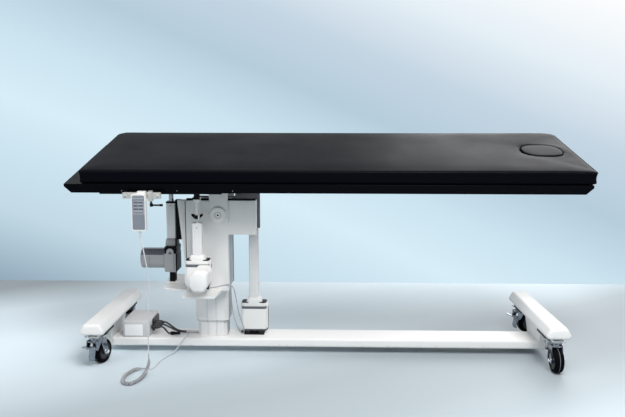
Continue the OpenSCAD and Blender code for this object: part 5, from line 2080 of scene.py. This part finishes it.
@dataclass
class Base:
    """The beam, its feet and the control box."""

    bench: Bench
    feet: tuple[float, float] = (-468.0, 1483.0)
    cover_under: float = 146.5
    cover_length: float = 606.0
    cover_width: float = 104.0
    cover_height: float = 49.0
    cover_end: float = 13.0
    bar_reach: tuple[float, float] = (127.0, 242.0)
    bar_half: float = 40.0
    bar_levels: tuple[float, float] = (133.1, 146.3)
    weld_radius: float = 2.6

    def build(self) -> None:
        """Dresses the base."""
        self.bench.eased("base_beam", Skin.POWDER, "powder_coat", 0.8)
        self.bench.eased("foot_crossbars", Skin.POWDER, "powder_coat", 1.2)
        for x, side in zip(self.feet, ("left", "right")):
            self.cover(x, side)
            self.cover_gap_shade(x, side)
        self.welds()
        self.bench.eased("control_box", Skin.BOX, "white_plastic", 0.5, clamp=True)
        cables = self.bench.eased("control_cables", Skin.CABLE, "black_plastic", 0.1, clamp=True, crease=60)
        self.bench.repaint(cables, Skin.CORD, lambda c, n: c.x > COLUMN.x - 0.134)
        self.label_plate()

    def cover(self, x: float, side: str) -> None:
        """Moulds one foot cover: a flat top, sloping shoulders and upright ends.

        Args:
            x: The foot's place along the beam.
            side: Its name.
        """
        half, top = self.cover_width / 2, self.cover_height
        right = [*arc((half - 15, 15), 15, -90, 24, 7), *arc((half - 27, top - 16), 16, 24, 90, 6)]
        outline = right + [(-a, b) for a, b in reversed(right)]
        length = self.cover_length - 2 * self.cover_end
        form = prism(outline, length, facing_front(spot(x, length / 2, self.cover_under)))
        for way in (-1, 1):
            steps = ((0.5, 4.0), (1.6, 3.6), (2.5, 2.9), (3.0, 1.8), (3.2, 0.7))
            stepped(form, end_face(form, (0, way, 0)), steps)
        made = self.bench.piece(f"foot_cover_{side}_moulding", form, Skin.POWDER, "base", "powder_coat", 50)
        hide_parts(f"foot_cover_{side}")

    def cover_gap_shade(self, x: float, side: str) -> None:
        """Fills the gap between the cover and the caster plates with black strips, painted shade for the dark
        gap under the cover.

        Args:
            x: The foot's place along the beam.
            side: The foot's name.
        """
        half, (low, high) = self.bar_half, self.bar_levels
        forms = []
        for way in (-1, 1):
            near, far = sorted(way * reach for reach in self.bar_reach)
            strip = slab((-half, near, low), (half, far, high), 2, 0.4, 0)
            forms.append(moved(strip, spot(x, 0, 0)))
        # Painted shade: black strips for the shadowed gap under the cover.
        self.bench.piece(f"cover_gap_shade_{side}", joined(forms), Skin.BLACK, "base", "black_paint")

    def welds(self) -> None:
        """Runs a weld bead round the beam at each web."""
        low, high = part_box("base_beam")
        for x, side in ((low.x + 0.0015, "left"), (high.x - 0.0015, "right")):
            ring = []
            for cy, cz, start in (
                (high.y - 0.008, high.z - 0.008, 0),
                (low.y + 0.008, high.z - 0.008, 90),
                (low.y + 0.008, low.z + 0.008, 180),
                (high.y - 0.008, low.z + 0.008, 270),
            ):
                ring += [Vector((x, cy + a, cz + b)) for a, b in arc((0, 0), 0.008, start, start + 90, 4)]
            path = [*ring, ring[0]]
            made = self.bench.round_run(f"beam_weld_{side}", path, self.weld_radius, Skin.POWDER, 8)
            self.bench.fastened(made, "base", "powder_coat")

    def label_plate(self) -> None:
        """Fixes a bare plate to the front of the control box, and marks the joint on its side."""
        low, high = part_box("control_box")
        plate = block(
            Vector((low.x + 0.012, low.y - 0.0007, low.z + 0.008)),
            Vector((high.x - 0.032, low.y + 0.0006, high.z - 0.018)),
            0.4,
            1,
        )
        self.bench.piece("control_box_plate", plate, Skin.PLATE, "base", "white_plastic")
        slot = block(
            Vector((high.x - 0.002, low.y + 0.0125, low.z + 0.006)),
            Vector((high.x + 0.0004, low.y + 0.0155, low.z + 0.054)),
            0,
        )
        self.bench.piece("control_box_joint", slot, Skin.BLACK_PLASTIC, "base", "black_plastic")


@dataclass
class Handset:
    """The handset with its panel and keys."""

    bench: Bench
    first_row: float = 20.5
    frame_line: float = 1.0
    frame_side: float = 2.6
    frame_half: float = 5.6
    relief_height: float = 7.5

    def build(self) -> None:
        """Dresses the handset."""
        shell = self.bench.eased("handset_shell", Skin.WHITE_PLASTIC, "white_plastic", 1.4, clamp=True)
        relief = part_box("handset_shell")[0].z + self.relief_height * MM
        self.bench.repaint(shell, Skin.KEY_PLASTIC, lambda c, n: c.z < relief)
        self.bench.eased("handset_face", Skin.GREY_PLASTIC, "grey_plastic", 0.4, clamp=True)
        for index in range(1, 7):
            self.bench.eased(f"key_{index}", Skin.KEY_PLASTIC, "grey_plastic", 0.5)
        self.row_frames()

    def row_frames(self) -> None:
        """Prints a thin pale frame round each row of keys, and round the bare rows above and below."""
        forms = []
        line, front = self.frame_line * MM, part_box("handset_face")[0].y
        x0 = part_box("key_1")[0].x - self.frame_side * MM
        x1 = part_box("key_2")[1].x + self.frame_side * MM
        rows = [middle_of(f"key_{key}").z for key in (1, 3, 5)]
        rows.append(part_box("handset_shell")[1].z - self.first_row * MM)
        rows.append(2 * rows[2] - rows[1] - 0.001)
        for z in rows:
            z0, z1 = z - self.frame_half * MM, z + self.frame_half * MM
            for a, b in (
                ((x0, z0), (x1, z0 + line)),
                ((x0, z1 - line), (x1, z1)),
                ((x0, z0), (x0 + line, z1)),
                ((x1 - line, z0), (x1, z1)),
            ):
                low, high = Vector((a[0], front - 0.0002, a[1])), Vector((b[0], front + 0.0004, b[1]))
                forms.append(block(low, high, 0))
        self.bench.piece("key_row_frames", joined(forms), Skin.PRINT, "handset", "grey_plastic")


@dataclass
class Caster:
    """One braked swivel caster."""

    bench: Bench
    corner: str
    radius: float = 52.0
    width: float = 38.0
    cheek: float = 25.0
    washer: float = 1.6

    def build(self) -> None:
        """Dresses the caster."""
        self.bench.eased(f"fork_{self.corner}", Skin.ZINC, "zinc", 0.5, clamp=True)
        self.bench.eased(f"pedal_{self.corner}", Skin.ZINC, "zinc", 1.0, clamp=True)
        self.wheel()
        self.nuts()

    def axle(self) -> tuple[Vector, Vector]:
        """The wheel's centre and the way its axle points."""
        joint = next(j for j in frame["record"]["behaviour"]["joints"] if j["name"] == f"roll_{self.corner}")
        return Vector(joint["pos_m"]), Vector(joint["axis"])

    def nuts(self) -> None:
        """Puts washers and nuts on both ends of the axle."""
        centre, axis = self.axle()
        forms = []
        for way in (axis, -axis):
            seat = centre + way * self.cheek * MM
            washer = turned(band(5, 10.5, 0, self.washer), way, seat, 32)
            end = turned(((0, 0), (4.9, 0), (4.9, 10.6), (4.1, 11.6), (0, 11.6)), way, seat, 20)
            forms += [washer, hex_nut(seat + way * self.washer * MM, way, 19.6, 7), end]
        body = f"caster_{self.corner}"
        self.bench.piece(f"axle_nuts_{self.corner}", joined(forms), Skin.BRIGHT, body, "zinc")

    def wheel(self) -> None:
        """Turns the tyre, its mould line and the hub."""
        centre, axis = self.axle()
        r, w = self.radius, self.width / 2
        tyre = mirrored(
            ((36, -w + 1), (r - 8, -w), (r - 4, -w + 1.6), (r - 1.4, -w + 5), (r - 0.3, -w + 9), (r, -w + 13))
        )
        hub = mirrored(((5.06, -w), (14, -w), (15.5, -w + 4.5), (33, -w + 4.5), (35.9, -w + 1)))
        for part, section, steps, skin in (
            ("tyre", tyre, 72, Skin.TYRE),
            ("mould_line", band(r - 1, r + 0.02, -0.9, 0.9), 72, Skin.SEAM),
            ("hub", hub, 64, Skin.HUB),
        ):
            form = turned(section, axis, centre, steps)
            made = self.bench.piece(f"{part}_{self.corner}", form, skin, f"roller_{self.corner}", "tread")
            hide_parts(f"wheel_{self.corner}")


def main() -> None:
    """Builds the table's looks."""
    logging.basicConfig(level=logging.INFO, format="%(name)s: %(message)s")
    paints = Paintbox()
    paints.mix()
    bench = Bench(paints)
    Studio().build()
    Cords(bench).build()
    Upholstery(bench).build()
    Tabletop(bench).build()
    Mechanism(bench).build()
    Drives(bench).build()
    Base(bench).build()
    Handset(bench).build()
    bench.eased("caster_mounts", Skin.ZINC, "zinc", 0.5)
    for corner in ("front_left", "front_right", "rear_left", "rear_right"):
        Caster(bench, corner).build()
    log.info("%d pieces", bench.count)


if __name__ == "__main__":
    main()
